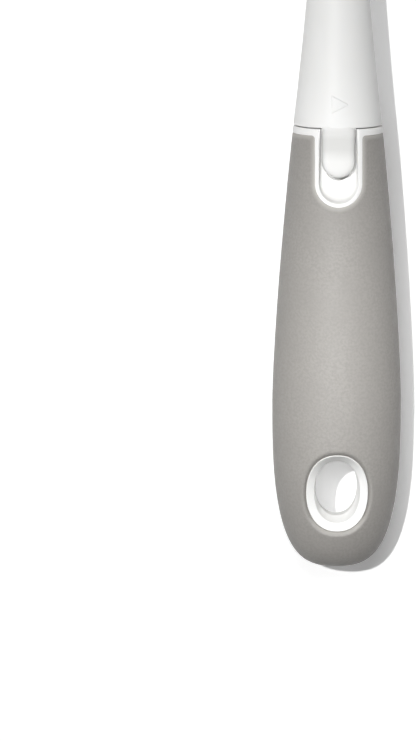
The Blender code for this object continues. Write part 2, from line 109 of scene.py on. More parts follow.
camera = add_object("camera", bpy.data.cameras.new("camera"))
camera.data.lens = LENS
camera.data.sensor_width = SENSOR_WIDTH
camera.data.clip_start = NEAREST_SEEN
camera.data.clip_end = FURTHEST_SEEN
eye = on_table(EYE_RIGHT, EYE_ALONG, CAMERA_HEIGHT)
aim = on_table(AIM_RIGHT, AIM_ALONG, BELLY_HALF_THICKNESS)
sight = (aim - eye).normalized()
side = sight.cross(table_along).normalized()
upward = side.cross(sight)
frame_right = side * math.cos(CAMERA_TWIST) + upward * math.sin(CAMERA_TWIST)
frame_up = upward * math.cos(CAMERA_TWIST) - side * math.sin(CAMERA_TWIST)
camera.matrix_world = Matrix.Translation(eye) @ Matrix((frame_right, frame_up, -sight)).transposed().to_4x4()
bpy.context.scene.camera = camera
print("camera at", [round(c, 3) for c in eye])

# %% [markdown]
# Materials, the backdrop and the recipes for the wire and the bristles are all trees of boxes. Many boxes
# are hard to read as code, so a small helper writes them: each call adds one box, with every input either
# set to a value or linked to another box's result.

# %% A helper for node trees
class Boxes:
    """A node tree, written as calls."""

    def __init__(self, tree):
        self.tree = tree

    def feed(self, socket, value):
        """Set an input to a value, or link it to another box's result."""
        if isinstance(value, bpy.types.NodeSocket):
            self.tree.links.new(value, socket)
        else:
            socket.default_value = value

    def node(self, kind, inputs=None, **settings):
        made = self.tree.nodes.new(kind)
        for key, value in settings.items():
            setattr(made, key, value)
        for key, value in (inputs or {}).items():
            self.feed(made.inputs[key], value)
        return made

    def sum(self, operation, *terms):
        """One Math box's result."""
        return self.node("ShaderNodeMath", dict(enumerate(terms)), operation=operation).outputs[0]


print("a box can hold:", [name for name in vars(Boxes) if not name.startswith("_")])

# %% [markdown]
# The table is white paper, so bright that it merges with the background, yet it keeps the shadow. More
# light on it would burn out the brush as well, so its colour does the work: what the camera sees directly,
# or in a reflection, is a paper that glows a little, and what lights the brush from below is plain paper.

# %% The table
TABLE_SIZE = 6
PAPER_GLOW = 0.245
PAPER_WHITE = 0.8
PAPER_ROUGHNESS = 0.9


def seen_directly(boxes):
    """1 for rays from the camera or from a reflection, and 0 for light that bounces."""
    rays = boxes.node("ShaderNodeLightPath").outputs
    total = rays["Is Camera Ray"]
    for name in ("Is Glossy Ray", "Is Transmission Ray"):
        total = boxes.sum("MAXIMUM", total, rays[name])
    return total


def paper_finish():
    made = bpy.data.materials.new("table_paper")
    made.use_nodes = True
    boxes = Boxes(made.node_tree)
    paper = made.node_tree.nodes["Principled BSDF"].inputs
    paper["Roughness"].default_value = PAPER_ROUGHNESS
    paper["Specular IOR Level"].default_value = 0
    paper["Emission Color"].default_value = (1, 1, 1, 1)
    seen = seen_directly(boxes)
    white = boxes.node("ShaderNodeMapRange", {"Value": seen, "To Min": PAPER_WHITE})
    boxes.feed(paper["Base Color"], white.outputs["Result"])
    boxes.feed(paper["Emission Strength"], boxes.sum("MULTIPLY", seen, PAPER_GLOW))
    return made


bpy.ops.mesh.primitive_plane_add(size=TABLE_SIZE)
table = bpy.context.object
table.name = "table"
table.matrix_world = Matrix.Translation(table_point) @ table_turn.to_4x4()
table.data.materials.append(paper_finish())
print("table laid at height", round(table_point.z, 4))

# %% [markdown]
# The shadow in the photograph has a hard rim and falls to the lower right, so the key light is small and
# far away: a sun lamp from the upper left. A soft lamp hangs low over the belly, which makes the grip
# brightest along its middle and lets its ends fall off. Three large ones stand a metre away, one beyond
# the head and one on either side of the brush, and soften the shadows. The world only serves as a white
# backdrop and as something to reflect.

# %% Light
KEY_TRAVEL = Vector((0.252, -0.2475, -1))
KEY_STRENGTH = 2.2
KEY_ANGLE = math.radians(1.5)
BACKDROP_SHINE = 0.6


def aim_along(lamp, direction):
    """Turn a lamp so that its light travels in a direction given on the table."""
    lamp.rotation_mode = "QUATERNION"
    lamp.rotation_quaternion = (table_turn @ direction.normalized()).to_track_quat("-Z", "Y")


def soft_lamp(name, along, lean, compass, distance, width, power):
    """A round soft lamp that faces a place along the brush, from a distance.
    It leans from the zenith by so many degrees, towards an angle counted from the right."""
    lamp = add_object(name, bpy.data.lights.new(name, "AREA"))
    lamp.data.shape = "DISK"
    lamp.data.size = width
    lamp.data.energy = power
    lean, compass = math.radians(lean), math.radians(compass)
    flat = math.sin(lean)
    away = Vector((flat * math.cos(compass), flat * math.sin(compass), math.cos(lean)))
    lamp.location = on_table(0, along, 0) + table_turn @ away * distance
    lamp.visible_camera = False
    aim_along(lamp, -away)


key = add_object("key", bpy.data.lights.new("key", "SUN"))
key.data.energy = KEY_STRENGTH
key.data.angle = KEY_ANGLE
aim_along(key, KEY_TRAVEL)
soft_lamp("low_lamp", along=0.013, lean=0, compass=0, distance=0.108, width=0.06, power=0.053)
soft_lamp("head_lamp", along=0.03, lean=65, compass=90, distance=1.0, width=0.4, power=0.9)
soft_lamp("left_lamp", along=0.03, lean=65, compass=160, distance=1.0, width=0.4, power=0.6)
soft_lamp("right_lamp", along=0.03, lean=62, compass=30, distance=1.0, width=0.5, power=1.0)


def make_backdrop():
    """A world that is white where it is seen, shines a little in reflections, and lights nothing else."""
    world = bpy.data.worlds.new("backdrop")
    world.use_nodes = True
    boxes = Boxes(world.node_tree)
    rays = boxes.node("ShaderNodeLightPath").outputs
    shine = boxes.sum("MULTIPLY_ADD", rays["Is Glossy Ray"], BACKDROP_SHINE, rays["Is Camera Ray"])
    background = world.node_tree.nodes["Background"].inputs
    background["Color"].default_value = (1, 1, 1, 1)
    boxes.feed(background["Strength"], shine)
    return world


bpy.context.scene.world = make_backdrop()
bpy.context.scene.view_settings.view_transform = "Standard"

# %% [markdown]
# The handle's form follows a rule: every cross-section is an ellipse, whose two half sizes swell from the
# seam to the belly and round off to the end. Once that rule is a function, any point of the surface can be
# named by its angle round the handle and its place along it, and pushed in along the surface's normal.

# %% The handle's form
HANDLE_LENGTH = 0.1215
SEAM_RADIUS = 0.01205
BELLY_HALF_WIDTH = 0.0176
SWELL_POWER = 1.4
END_POWER = 2.8
END_ROUND_POWER = 3.2
END_Y = -0.0142
SEAM_Y = END_Y + HANDLE_LENGTH
TINY = 0.00001
FACE_CORE = math.cos(math.radians(33))
FACE_EDGE = math.cos(math.radians(58))
FACE_START = -0.005
FACE_END = -0.0095


def half_size(y, belly):
    """Half the handle's width or thickness at y."""
    if y > BELLY_Y:
        rise = (y - BELLY_Y) / (SEAM_Y - BELLY_Y)
        return belly - (belly - SEAM_RADIUS) * rise**SWELL_POWER
    reach = (BELLY_Y - y) / (BELLY_Y - END_Y)
    return belly * max(1 - reach**END_POWER, 0) ** (1 / END_ROUND_POWER)


def smooth_step(value, low, high):
    """0 below low, 1 above high, and an easy slope between them."""
    share = max(0.0, min(1.0, (value - low) / (high - low)))
    return share * share * (3 - 2 * share)


def on_handle(angle, y, depth=0.0):
    """A point at an angle from the front, towards +X, sunk below the surface.
    It sinks straight back on the front and back, as a mould opens, and square to the surface elsewhere."""
    width = half_size(y, BELLY_HALF_WIDTH)
    thick = half_size(y, BELLY_HALF_THICKNESS)
    across = math.sin(angle)
    up = math.cos(angle)
    point = Vector((width * across, y, thick * up))
    if not depth:
        return point
    low_y = max(y - TINY, END_Y)
    step = y + TINY - low_y
    width_slope, thick_slope = [
        (half_size(y + TINY, belly) - half_size(low_y, belly)) / step
        for belly in (BELLY_HALF_WIDTH, BELLY_HALF_THICKNESS)]
    slope = width_slope * across * across / width + thick_slope * up * up / thick
    square = Vector((across / width, -slope, up / thick)).normalized()
    straight = smooth_step(abs(up), FACE_EDGE, FACE_CORE) * smooth_step(y, FACE_END, FACE_START)
    way = square * (1 - straight) + Vector((0, 0, math.copysign(1, up))) * straight
    return point - way.normalized() * depth


def angle_of(x, y, back=False):
    """The angle at which the surface has the given x, on the front or the back."""
    angle = math.asin(max(-1, min(1, x / half_size(y, BELLY_HALF_WIDTH))))
    return math.pi - angle if back else angle


for name, angle in (("front", 0), ("side", math.pi / 2)):
    print("the belly's", name, "in mm:", [round(c * MM, 1) for c in on_handle(angle, BELLY_Y)])

# %% [markdown]
# Two outlines cut the grip open: the rim with the U that frames the thumb well, and the oval round the
# hang hole on either face. Each is a rule too: how far a point lies outside it. The same rule, let out or
# drawn in, gives the parallel loops that a rolled edge needs.

# %% Outlines of the openings
RIM_WIDTH = 0.0021
RIM_Y = SEAM_Y - RIM_WIDTH
CLEARANCE = 0.0003
RIM_TOP_Y = SEAM_Y - CLEARANCE
WELL_HALF_WIDTH = 0.0064
WELL_CENTRE_Y = SEAM_Y - 0.0213 + WELL_HALF_WIDTH
CORNER_RADIUS = 0.0009
HOLE_Y = 0.0077
TUNNEL_HALF_WIDTH = 0.0057
TUNNEL_HALF_LENGTH = 0.008
OVAL_POWER = 2.2
OVAL_REACH = 0.05
OVAL_HALVINGS = 26
EYELET_GROW = 0.0027
FOOT_STEPS = 24
SIDE_STEPS = 16
CORNER_STEPS = 8
TIGHTEST_CORNER = 0.00005


def outside_white(x, y):
    """How far a point of the front lies outside the rim and the U, or less than zero inside them."""
    beside = abs(x) - WELL_HALF_WIDTH
    below = RIM_Y - y
    if y < WELL_CENTRE_Y:
        return math.hypot(x, y - WELL_CENTRE_Y) - WELL_HALF_WIDTH
    if beside < CORNER_RADIUS and below < CORNER_RADIUS:
        return CORNER_RADIUS - math.hypot(CORNER_RADIUS - beside, CORNER_RADIUS - below)
    return min(beside, below)


def outside_oval(x, y):
    """How far the hang hole's tunnel outline must be let out to reach a point."""
    low, high = -TUNNEL_HALF_WIDTH, OVAL_REACH
    for _ in range(OVAL_HALVINGS):
        middle = (low + high) / 2
        share = (abs(x) / (TUNNEL_HALF_WIDTH + middle)) ** OVAL_POWER
        share += (abs(y - HOLE_Y) / (TUNNEL_HALF_LENGTH + middle)) ** OVAL_POWER
        low, high = (middle, high) if share > 1 else (low, middle)
    return (low + high) / 2


def oval_loop(grow, count=96):
    """The hang hole's outline, let out, anticlockwise as seen from the front."""
    loop = []
    for i in range(count):
        turn = 2 * math.pi * i / count
        circle = (math.cos(turn), math.sin(turn))
        x, y = [math.copysign(abs(c) ** (2 / OVAL_POWER), c) for c in circle]
        loop.append((x * (TUNNEL_HALF_WIDTH + grow), HOLE_Y + y * (TUNNEL_HALF_LENGTH + grow)))
    return loop


def front_path(grow):
    """The right half of the rim and U outline, let out into the grip, from the U's foot to the rim."""
    width = WELL_HALF_WIDTH + grow
    rim = RIM_Y - grow
    corner = max(CORNER_RADIUS - grow, TIGHTEST_CORNER)
    turns = [math.pi / (2 * FOOT_STEPS) * i for i in range(FOOT_STEPS + 1)]
    path = [(width * math.sin(t), WELL_CENTRE_Y - width * math.cos(t)) for t in turns]
    side_top = rim - corner
    drop = side_top - WELL_CENTRE_Y
    path += [(width, WELL_CENTRE_Y + drop * i / SIDE_STEPS) for i in range(1, SIDE_STEPS + 1)]
    for i in range(1, CORNER_STEPS + 1):
        turn = math.pi / (2 * CORNER_STEPS) * i
        path.append((width + corner * (1 - math.cos(turn)), side_top + corner * math.sin(turn)))
    return path


print("points on half of the U:", len(front_path(0)))
print("from the U to the belly:", round(outside_white(0, BELLY_Y) * MM, 1), "mm")

# %% [markdown]
# A skin is made flat first. Its points lie on a sheet, angle times radius across and y along, with loops
# of points where an edge will roll. A Delaunay triangulation joins them without crossing a loop, and only
# then is each point placed in space. A Boolean would cut the same openings, but it leaves sharp edges on
# a coarse mesh, and here the rolled edges are what catches the light.

# %% Flat sheets that become skins
SHEET_RADIUS = 0.0165
LEFT_SEAM = -math.pi / 2
RIGHT_SEAM = 1.5 * math.pi
END_ROWS = 26
LAST_SHARE = 0.03
SHEET_COLUMNS = 132
JOIN_TOLERANCE = 1e-6
FINE_TOLERANCE = 1e-7


def sheet_rows(top, step):
    """Places along the handle for rows of points, closer together where the end rounds over."""
    count = round((top - BELLY_Y) / step)
    places = [top - (top - BELLY_Y) * i / count for i in range(count)]
    for i in range(END_ROWS + 1):
        turn = 0.5 * math.pi * (i / END_ROWS)
        places.append(BELLY_Y - (BELLY_Y - END_Y) * math.sin(turn) ** (2 / END_POWER))
    places[-1] = BELLY_Y - (BELLY_Y - END_Y) * (1 - LAST_SHARE**END_ROUND_POWER) ** (1 / END_POWER)
    return places


class Sheet:
    """Points by angle and y, with the loops that the triangles must keep."""

    def __init__(self):
        self.points = []
        self.edges = []

    def add(self, run, closed=False):
        """Add a run of (angle, y) points as a loop or a line, and give their numbers."""
        first = len(self.points)
        self.points += run
        numbers = list(range(first, len(self.points)))
        self.edges += list(zip(numbers, numbers[1:]))
        if closed:
            self.edges.append((numbers[-1], numbers[0]))
        return numbers

    def triangles(self, keep):
        """Join the points, keep the triangles whose middle passes, and close the sheet at its seam."""
        flat = [Vector((angle * SHEET_RADIUS * MM, y * MM)) for angle, y in self.points]
        places, _, faces, sources, _, _ = delaunay_2d_cdt(flat, self.edges, [], 0, JOIN_TOLERANCE, True)
        spots = [(p.x / MM / SHEET_RADIUS, p.y / MM) for p in places]
        number_of = {}
        for new, olds in enumerate(sources):
            for old in olds:
                number_of[old] = new
        left = {}
        for i, (angle, y) in enumerate(spots):
            if abs(angle - LEFT_SEAM) < JOIN_TOLERANCE:
                left[round(y, 8)] = i
        joined = list(range(len(spots)))
        for i, (angle, y) in enumerate(spots):
            if abs(angle - RIGHT_SEAM) < JOIN_TOLERANCE:
                joined[i] = left.get(round(y, 8), i)
        kept = []
        for face in faces:
            middle = [sum(spots[i][k] for i in face) / 3 for k in (0, 1)]
            if keep(*middle):
                kept.append(tuple(joined[i] for i in face))
        return spots, kept, number_of


def across_sheet(angle, y):
    """A sheet point's x, and whether it is on the back."""
    return half_size(y, BELLY_HALF_WIDTH) * math.sin(angle), math.cos(angle) < 0


def on_sheet(path, back=False):
    """The sheet points for a path of (x, y) on the front or the back."""
    return [(angle_of(x, y, back), y) for x, y in path]


def rim_line(grow):
    """The rim outline, let out by grow, right round the handle from seam to seam."""
    right = on_sheet(front_path(grow))
    last_angle, rim = right[-1]
    count = round(SHEET_COLUMNS * (RIGHT_SEAM - last_angle) / (2 * math.pi))
    far = [(last_angle + (RIGHT_SEAM - last_angle) * i / count, rim) for i in range(1, count + 1)]
    left_count = round(SHEET_COLUMNS * (-last_angle - LEFT_SEAM) / (2 * math.pi))
    near = [(LEFT_SEAM + (-last_angle - LEFT_SEAM) * i / left_count, rim) for i in range(left_count)]
    return near + [(-a, y) for a, y in reversed(right[1:])] + right + far


def line_round(y, columns=SHEET_COLUMNS):
    """Points right round the handle at one place along it."""
    return [(LEFT_SEAM + 2 * math.pi * i / columns, y) for i in range(columns + 1)]


print("points in a line round the rim:", len(rim_line(0)))

# %% [markdown]
# The brush has soft grey rubber, three close whites of satin plastic, drawn steel and nylon. None of them
# is one flat colour. A second helper writes what they share: a pattern on the object's own coordinates, a
# colour that varies a little with it, and a fine bump. What is the same all over is set on the shader
# itself.

# %% A helper for finishes
MIX_COLOURS = (6, 7)
MIX_RESULT = 2
CLOUD_SPAN = (0.35, 0.65)
NOISE_SPAN = (0.3, 0.7)


class Finish(Boxes):
    """A material that is built up from patterns on the object's own coordinates."""

    def __init__(self, name, roughness, specular=0.5, metallic=0.0):
        self.material = bpy.data.materials.new(name)
        self.material.use_nodes = True
        super().__init__(self.material.node_tree)
        self.shader = self.tree.nodes["Principled BSDF"].inputs
        self.shader["Roughness"].default_value = roughness
        self.shader["Specular IOR Level"].default_value = specular
        self.shader["Metallic"].default_value = metallic
        self.place = self.node("ShaderNodeTexCoord").outputs["Object"]

    def noise(self, scale, detail=2.0, stretch=(1, 1, 1)):
        """A cloudy pattern with so many cells to the metre."""
        spread = self.node("ShaderNodeMapping", {"Vector": self.place, "Scale": stretch})
        cells = {"Vector": spread.outputs[0], "Scale": scale, "Detail": detail}
        return self.node("ShaderNodeTexNoise", cells).outputs["Fac"]

    def between(self, value, span, low_colour, high_colour):
        """A colour that runs from one to another as a value runs through a span."""
        limits = {"Value": value, "From Min": span[0], "From Max": span[1]}
        share = self.node("ShaderNodeMapRange", limits).outputs["Result"]
        mix = self.node("ShaderNodeMix", {"Factor": share}, data_type="RGBA")
        for i, colour in zip(MIX_COLOURS, (low_colour, high_colour)):
            self.feed(mix.inputs[i], colour if isinstance(colour, bpy.types.NodeSocket) else (*colour, 1))
        return mix.outputs[MIX_RESULT]

    def colour(self, value):
        self.feed(self.shader["Base Color"], value)

    def rough(self, pattern, smooth, coarse):
        """Roughness that varies with a pattern."""
        low, high = NOISE_SPAN
        limits = {"Value": pattern, "From Min": low, "From Max": high, "To Min": smooth, "To Max": coarse}
        self.feed(self.shader["Roughness"], self.node("ShaderNodeMapRange", limits).outputs["Result"])

    def bump(self, *patterns):
        """Bumps on bumps: pairs of a pattern and its depth in metres."""
        below = {}
        for pattern, depth in patterns:
            made = self.node("ShaderNodeBump", {"Height": pattern, "Distance": depth, **below})
            below = {"Normal": made.outputs["Normal"]}
        self.feed(self.shader["Normal"], below["Normal"])


print("a finish can have:", [name for name in vars(Finish) if not name.startswith("_")])

# %% [markdown]
# The grip's rubber is a warm grey with the fine even grain of an etched mould, and slow, faint clouds where
# it filled. Along the white edges and just below the hang hole it is painted lighter. This is painted light,
# standing in for light that the white plastic throws back and for the lit lower side of the hole. The mesh's
# own measure of nearness to an edge drives it.

# %% Rubber
RUBBER = (0.327, 0.314, 0.296)
RUBBER_CLOUD = (0.31, 0.298, 0.281)
RUBBER_GRAIN = (0.291, 0.28, 0.264)
# Painted light: the lighter grey of the rubber along the white edges and below the hang hole.
RUBBER_PAINTED_LIGHT = (0.475, 0.459, 0.436)
GRAIN_SPAN = (0.35, 0.62)
PAINTED_LIGHT_SPAN = (0.66, 1.05)


def grey_rubber():
    made = Finish("grey_rubber", 0.55, specular=0.35)
    clouds = made.between(made.noise(90, detail=3.0), CLOUD_SPAN, RUBBER_CLOUD, RUBBER)
    speckled = made.between(made.noise(1500), GRAIN_SPAN, RUBBER_GRAIN, clouds)
    # Painted light: the rubber is painted lighter near the white edges and below the hang hole.
    near = made.node("ShaderNodeAttribute", attribute_name="painted_edge_light").outputs["Fac"]
    made.colour(made.between(near, PAINTED_LIGHT_SPAN, speckled, RUBBER_PAINTED_LIGHT))
    made.rough(made.noise(400), smooth=0.5, coarse=0.62)
    made.bump((made.noise(3200, detail=1.0), 0.00004), (made.noise(700), 0.00003))
    return made.material


rubber = grey_rubber()
print("rubber:", rubber.name)

# %% [markdown]
# The core, the neck and the tab are moulded in whites that differ a little, and the tab's white is set
# darker as painted shade. Light spreads a fraction of a millimetre inside such plastic, so Subsurface
# softens its shading. The dip of the tab, where thumbs press, is painted a greyer white as painted shade,
# which a distance along the brush places.

# %% White plastic
GLOW_SHARE = 0.2
GLOW_TINT = (1.0, 0.95, 0.88)
FLOW_BUMP = 0.00002
THUMB_Y = 0.103
# Painted shade in the tab's dip: its greyer white, where it is full and where it has faded out.
PAINTED_DIP_SHADE = (0.685, 0.685, 0.672)
DIP_SHADE_FULL = 0.0014
DIP_SHADE_HALF_LENGTH = 0.0046


def white_plastic(name, low_colour, high_colour, texture, glow_depth, shaded_dip=False):
    """A satin white: two close colours that cloud into each other, the depth of its fine texture, how far
    light spreads inside it, and whether shade is painted into the dip where the thumb presses."""
    made = Finish(name, 0.5, specular=0.3)
    made.shader["Subsurface Weight"].default_value = GLOW_SHARE
    made.shader["Subsurface Radius"].default_value = GLOW_TINT
    made.shader["Subsurface Scale"].default_value = glow_depth
    clouds = made.between(made.noise(60), CLOUD_SPAN, low_colour, high_colour)
    # Painted shade: the dip of the tab is painted a greyer white.
    if shaded_dip:
        along = made.node("ShaderNodeSeparateXYZ", {"Vector": made.place}).outputs["Y"]
        reach = made.sum("ABSOLUTE", made.sum("SUBTRACT", along, THUMB_Y))
        clouds = made.between(reach, (DIP_SHADE_FULL, DIP_SHADE_HALF_LENGTH), PAINTED_DIP_SHADE, clouds)
    made.colour(clouds)
    made.rough(made.noise(250), smooth=0.46, coarse=0.54)
    made.bump((made.noise(2400, detail=1.0), texture), (made.noise(120, detail=1.0), FLOW_BUMP))
    return made.material


core_plastic = white_plastic(
    "core_plastic", (0.86, 0.858, 0.845), (0.875, 0.874, 0.864), texture=0.000006, glow_depth=0.0006)
neck_plastic = white_plastic(
    "neck_plastic", (0.84, 0.84, 0.828), (0.852, 0.853, 0.843), texture=0.000004, glow_depth=0.0003)
# The tab's white is darker than the neck's as painted shade.
tab_plastic = white_plastic(
    "tab_plastic", (0.79, 0.79, 0.777), (0.81, 0.81, 0.798), texture=0.000015, glow_depth=0.0002, shaded_dip=True)
print("whites:", [made.name for made in (core_plastic, neck_plastic, tab_plastic)])

# %% [markdown]
# The grip is a sleeve of soft rubber. It meets the rim and the U almost flush, with a small quarter round,
# and falls away towards the eyelet in a wide soft slope, so light catches that slope on one side of the
# hole and leaves it dark on the other. Both edges are rules again: how deep a point lies, by its distance
# from the edge.

# %% The grip's edges
GRIP_THICKNESS = 0.0018
ROLL_WIDTH = 0.0007
ROLL_DEPTH = 0.00022
EYELET_ROLL_WIDTH = 0.0017
EYELET_ROLL_DEPTH = 0.0018
HOLE_NEARBY = 0.02
FAR_AWAY = 1.0
# How far the painted light on the rubber reaches from an edge, and where below the hole it starts.
PAINTED_LIGHT_REACH = 0.004
PAINTED_LIGHT_DROP = 0.009


def quarter_round(distance, width, depth):
    """How deep a rolled edge lies at a distance from it."""
    if distance >= width:
        return 0.0
    return depth * (1 - math.sqrt(max(1 - (1 - distance / width) ** 2, 0)))


def soft_fall(distance, width, depth):
    """How deep an edge lies that falls away slowly at first."""
    return depth * max(1 - max(distance, 0) / width, 0) ** 3


def edge_distances(angle, y):
    """Distances of a point from the edge of the white rim and U, and from the eyelet's edge."""
    x, back = across_sheet(angle, y)
    white = RIM_Y - y if back else outside_white(x, y)
    oval = outside_oval(x, y) - EYELET_GROW if abs(y - HOLE_Y) < HOLE_NEARBY else FAR_AWAY
    return white, oval


def grip_depth(angle, y):
    white, oval = edge_distances(angle, y)
    rolled = quarter_round(white, ROLL_WIDTH, ROLL_DEPTH)
    return rolled + soft_fall(oval, EYELET_ROLL_WIDTH, EYELET_ROLL_DEPTH)


def painted_light_share(angle, y):
    """Painted light on the rubber: 1 at the white edge and just below the eyelet, 0 a reach away."""
    white, oval = edge_distances(angle, y)
    above = smooth_step(y, HOLE_Y - PAINTED_LIGHT_DROP, HOLE_Y)
    return max(0.0, 1 - min(white, oval + PAINTED_LIGHT_REACH * above) / PAINTED_LIGHT_REACH)


print("the grip's edge dips", round(grip_depth(0, WELL_CENTRE_Y - WELL_HALF_WIDTH) * MM, 2), "mm at the U")


# %% The grip's sheet
ROLL_LOOPS = 7
GRIP_ROW_STEP = 0.0012
GRIP_MARGIN = 0.0004


def round_steps(width, count):
    """Distances across a rolled edge, closest together where it is steepest."""
    return [width * (1 - math.cos(0.5 * math.pi * i / count)) for i in range(count + 1)]


def fill_sheet(sheet, step, columns, margin, white_roll=0, oval_roll=0):
    """Add rows of points to a sheet, a margin away from its rolled edges."""
    for row_y in sheet_rows(RIM_Y - white_roll, step):
        if row_y < RIM_Y - white_roll - margin:
            for angle, y in line_round(row_y, columns):
                white, oval = edge_distances(angle, y)
                if white > white_roll + margin and oval > oval_roll + margin:
                    sheet.points.append((angle, y))


def grip_sheet():
    sheet = Sheet()
    for reach in round_steps(1, ROLL_LOOPS):
        sheet.add(rim_line(ROLL_WIDTH * reach))
        for back in (False, True):
            oval = oval_loop(EYELET_GROW + EYELET_ROLL_WIDTH * reach)
            sheet.add(on_sheet(oval, back), closed=True)
    fill_sheet(sheet, GRIP_ROW_STEP, SHEET_COLUMNS, GRIP_MARGIN, ROLL_WIDTH, EYELET_ROLL_WIDTH)
    return sheet


grip_spots, grip_faces, _ = grip_sheet().triangles(lambda angle, y: min(edge_distances(angle, y)) > 0)
print("grip sheet:", len(grip_spots), "points,", len(grip_faces), "triangles")

# %% [markdown]
# A sheet becomes a piece in the same steps each time: its points are placed in space, its openings are
# joined to an inner skin or to other rings, and its last row closes on one point. Then doubles are merged
# and the normals are turned outward. The grip is doubled by an inner skin that lies on the core.

# %% The grip
SHARP_ANGLE = math.radians(50)
MERGE_DISTANCE = 0.000001


def finished_piece(name, bm, finish):
    """Turn a mesh outward and wrap it as a smooth object with a finish."""
    bmesh.ops.remove_doubles(bm, verts=bm.verts, dist=MERGE_DISTANCE)
    bmesh.ops.recalc_face_normals(bm, faces=bm.faces)
    if bm.calc_volume(signed=True) < 0:
        bmesh.ops.reverse_faces(bm, faces=bm.faces)
    loose = sum(1 for edge in bm.edges if len(edge.link_faces) != 2)
    mesh = bpy.data.meshes.new(name)
    bm.to_mesh(mesh)
    bm.free()
    mesh.shade_smooth()
    mesh.set_sharp_from_angle(angle=SHARP_ANGLE)
    mesh.materials.append(finish)
    print(name + ":", len(mesh.polygons), "faces,", loose, "open edges")
    return add_object(name, mesh)


def open_edges(faces):
    """Edges used by one face only, each in the direction in which that face runs."""
    runs = {}
    for face in faces:
        for a, b in zip(face, face[1:] + face[:1]):
            runs[(a, b)] = True
    return [(a, b) for a, b in runs if (b, a) not in runs]


def last_row(spots, edges):
    """The open edges that ring the handle's end."""
    lowest = min(spots[a][1] for a, b in edges)
    return [(a, b) for a, b in edges if max(spots[a][1], spots[b][1]) < lowest + FINE_TOLERANCE]


def close_end(bm, ring, verts, pole):
    """Join the last row of a skin to one point."""
    tip = bm.verts.new(pole)
    for a, b in ring:
        bm.faces.new((verts[b], verts[a], tip))


def drop_loose(bm):
    bmesh.ops.delete(bm, geom=[v for v in bm.verts if not v.link_faces], context="VERTS")


def make_grip():
    bm = bmesh.new()
    nearness = bm.verts.layers.float.new("painted_edge_light")
    outer = []
    for angle, y in grip_spots:
        vert = bm.verts.new(on_handle(angle, y, grip_depth(angle, y)))
        # Painted light, stored on each point for the rubber's colour.
        vert[nearness] = painted_light_share(angle, y)
        outer.append(vert)
    inner = [bm.verts.new(on_handle(angle, y, GRIP_THICKNESS - CLEARANCE)) for angle, y in grip_spots]
    for face in grip_faces:
        bm.faces.new([outer[i] for i in face])
        bm.faces.new([inner[i] for i in reversed(face)])
    rest = open_edges(grip_faces)
    ring = last_row(grip_spots, rest)
    close_end(bm, ring, outer, (0, END_Y, 0))
    close_end(bm, [(b, a) for a, b in ring], inner, (0, END_Y + GRIP_THICKNESS - CLEARANCE, 0))
    for a, b in set(rest) - set(ring):
        bm.faces.new((outer[b], outer[a], inner[a], inner[b]))
    drop_loose(bm)
    return finished_piece("grip_sleeve", bm, rubber)


grip = make_grip()
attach(grip, "handle")
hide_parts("grip")

# %% [markdown]
# The white core is one moulding: the rim, the U round the thumb well, the well itself, the eyelet of the
# hang hole and the socket. Its skin is a sheet like the grip's, pushed down to where the grip covers it.
# The well's walls fall straight down, with a round edge at the top and a wide hollow foot at the floor,
# because a moulded part has no sharp corner. The slot for the tab's catch is sunk into that floor, and its
# round end shows below the tab's tip as a dark crescent.

# %% The core's skin
WELL_INSIDE = 0.0053
LAND_EDGE = 0.00008
RIM_EDGE = 0.0003
WELL_EDGE = 0.00025
WELL_DRAFT = 0.0003
WELL_FOOT = 0.0013
WELL_FLOOR = 0.0093
SLOT_HALF_WIDTH = 0.0036
SLOT_ROUND_Y = SEAM_Y - 0.0107
SLOT_FLOOR = 0.0078
CLIFF_WIDTH = 0.00003


def into_well(x, y):
    """How far a point of the front lies inside the thumb well's inner outline."""
    return WELL_INSIDE - math.hypot(x, min(y - WELL_CENTRE_Y, 0))


def well_height(reach):
    """Height of the well's hollow foot and floor, at a distance in from its outline."""
    share = max(0.0, 1 - max(reach - WELL_DRAFT, 0) / WELL_FOOT)
    return WELL_FLOOR + WELL_FOOT * (1 - math.sqrt(1 - share * share))


def into_slot(x, y):
    """How far a point lies inside the slot that the tab's catch runs in."""
    return SLOT_HALF_WIDTH - math.hypot(x, min(y - SLOT_ROUND_Y, 0))


def core_point(angle, y):
    """A point of the core's skin, from its place on the sheet."""
    x, back = across_sheet(angle, y)
    white = RIM_Y - y if back else outside_white(x, y)
    if white > CLIFF_WIDTH / 2:
        return on_handle(angle, y, GRIP_THICKNESS)
    reach = -FAR_AWAY if back else into_well(x, y)
    if reach > WELL_DRAFT / 2:
        in_slot = into_slot(x, y) >= CLIFF_WIDTH / 2
        return Vector((x, y, SLOT_FLOOR if in_slot else well_height(reach)))
    depth = quarter_round(-white, LAND_EDGE, LAND_EDGE)
    depth = max(depth, quarter_round(RIM_TOP_Y - y, RIM_EDGE, RIM_EDGE))
    depth = max(depth, quarter_round(-reach, WELL_EDGE, WELL_EDGE))
    return on_handle(angle, y, depth)


print("the well is", round((on_handle(0, WELL_CENTRE_Y).z - WELL_FLOOR) * MM, 2), "mm deep")


# %% The core's sheet
WELL_STEPS = (24, 48)
SLOT_STEPS = (1, 24)
LAND_LOOPS = 3
EDGE_LOOPS = 4
WELL_FOOT_LOOPS = 7
CORE_ROW_STEP = 0.003
CORE_MARGIN = 0.0008


def tongue(width, top_y, round_y, steps):
    """An outline like a tongue's: down its right side, round its tip and up its left side."""
    side_steps, tip_steps = steps
    side = [(width, top_y + (round_y - top_y) * i / side_steps) for i in range(side_steps)]
    turns = [math.pi * i / tip_steps for i in range(tip_steps + 1)]
    tip = [(width * math.cos(t), round_y - width * math.sin(t)) for t in turns]
    return side + tip + [(-x, y) for x, y in reversed(side)]


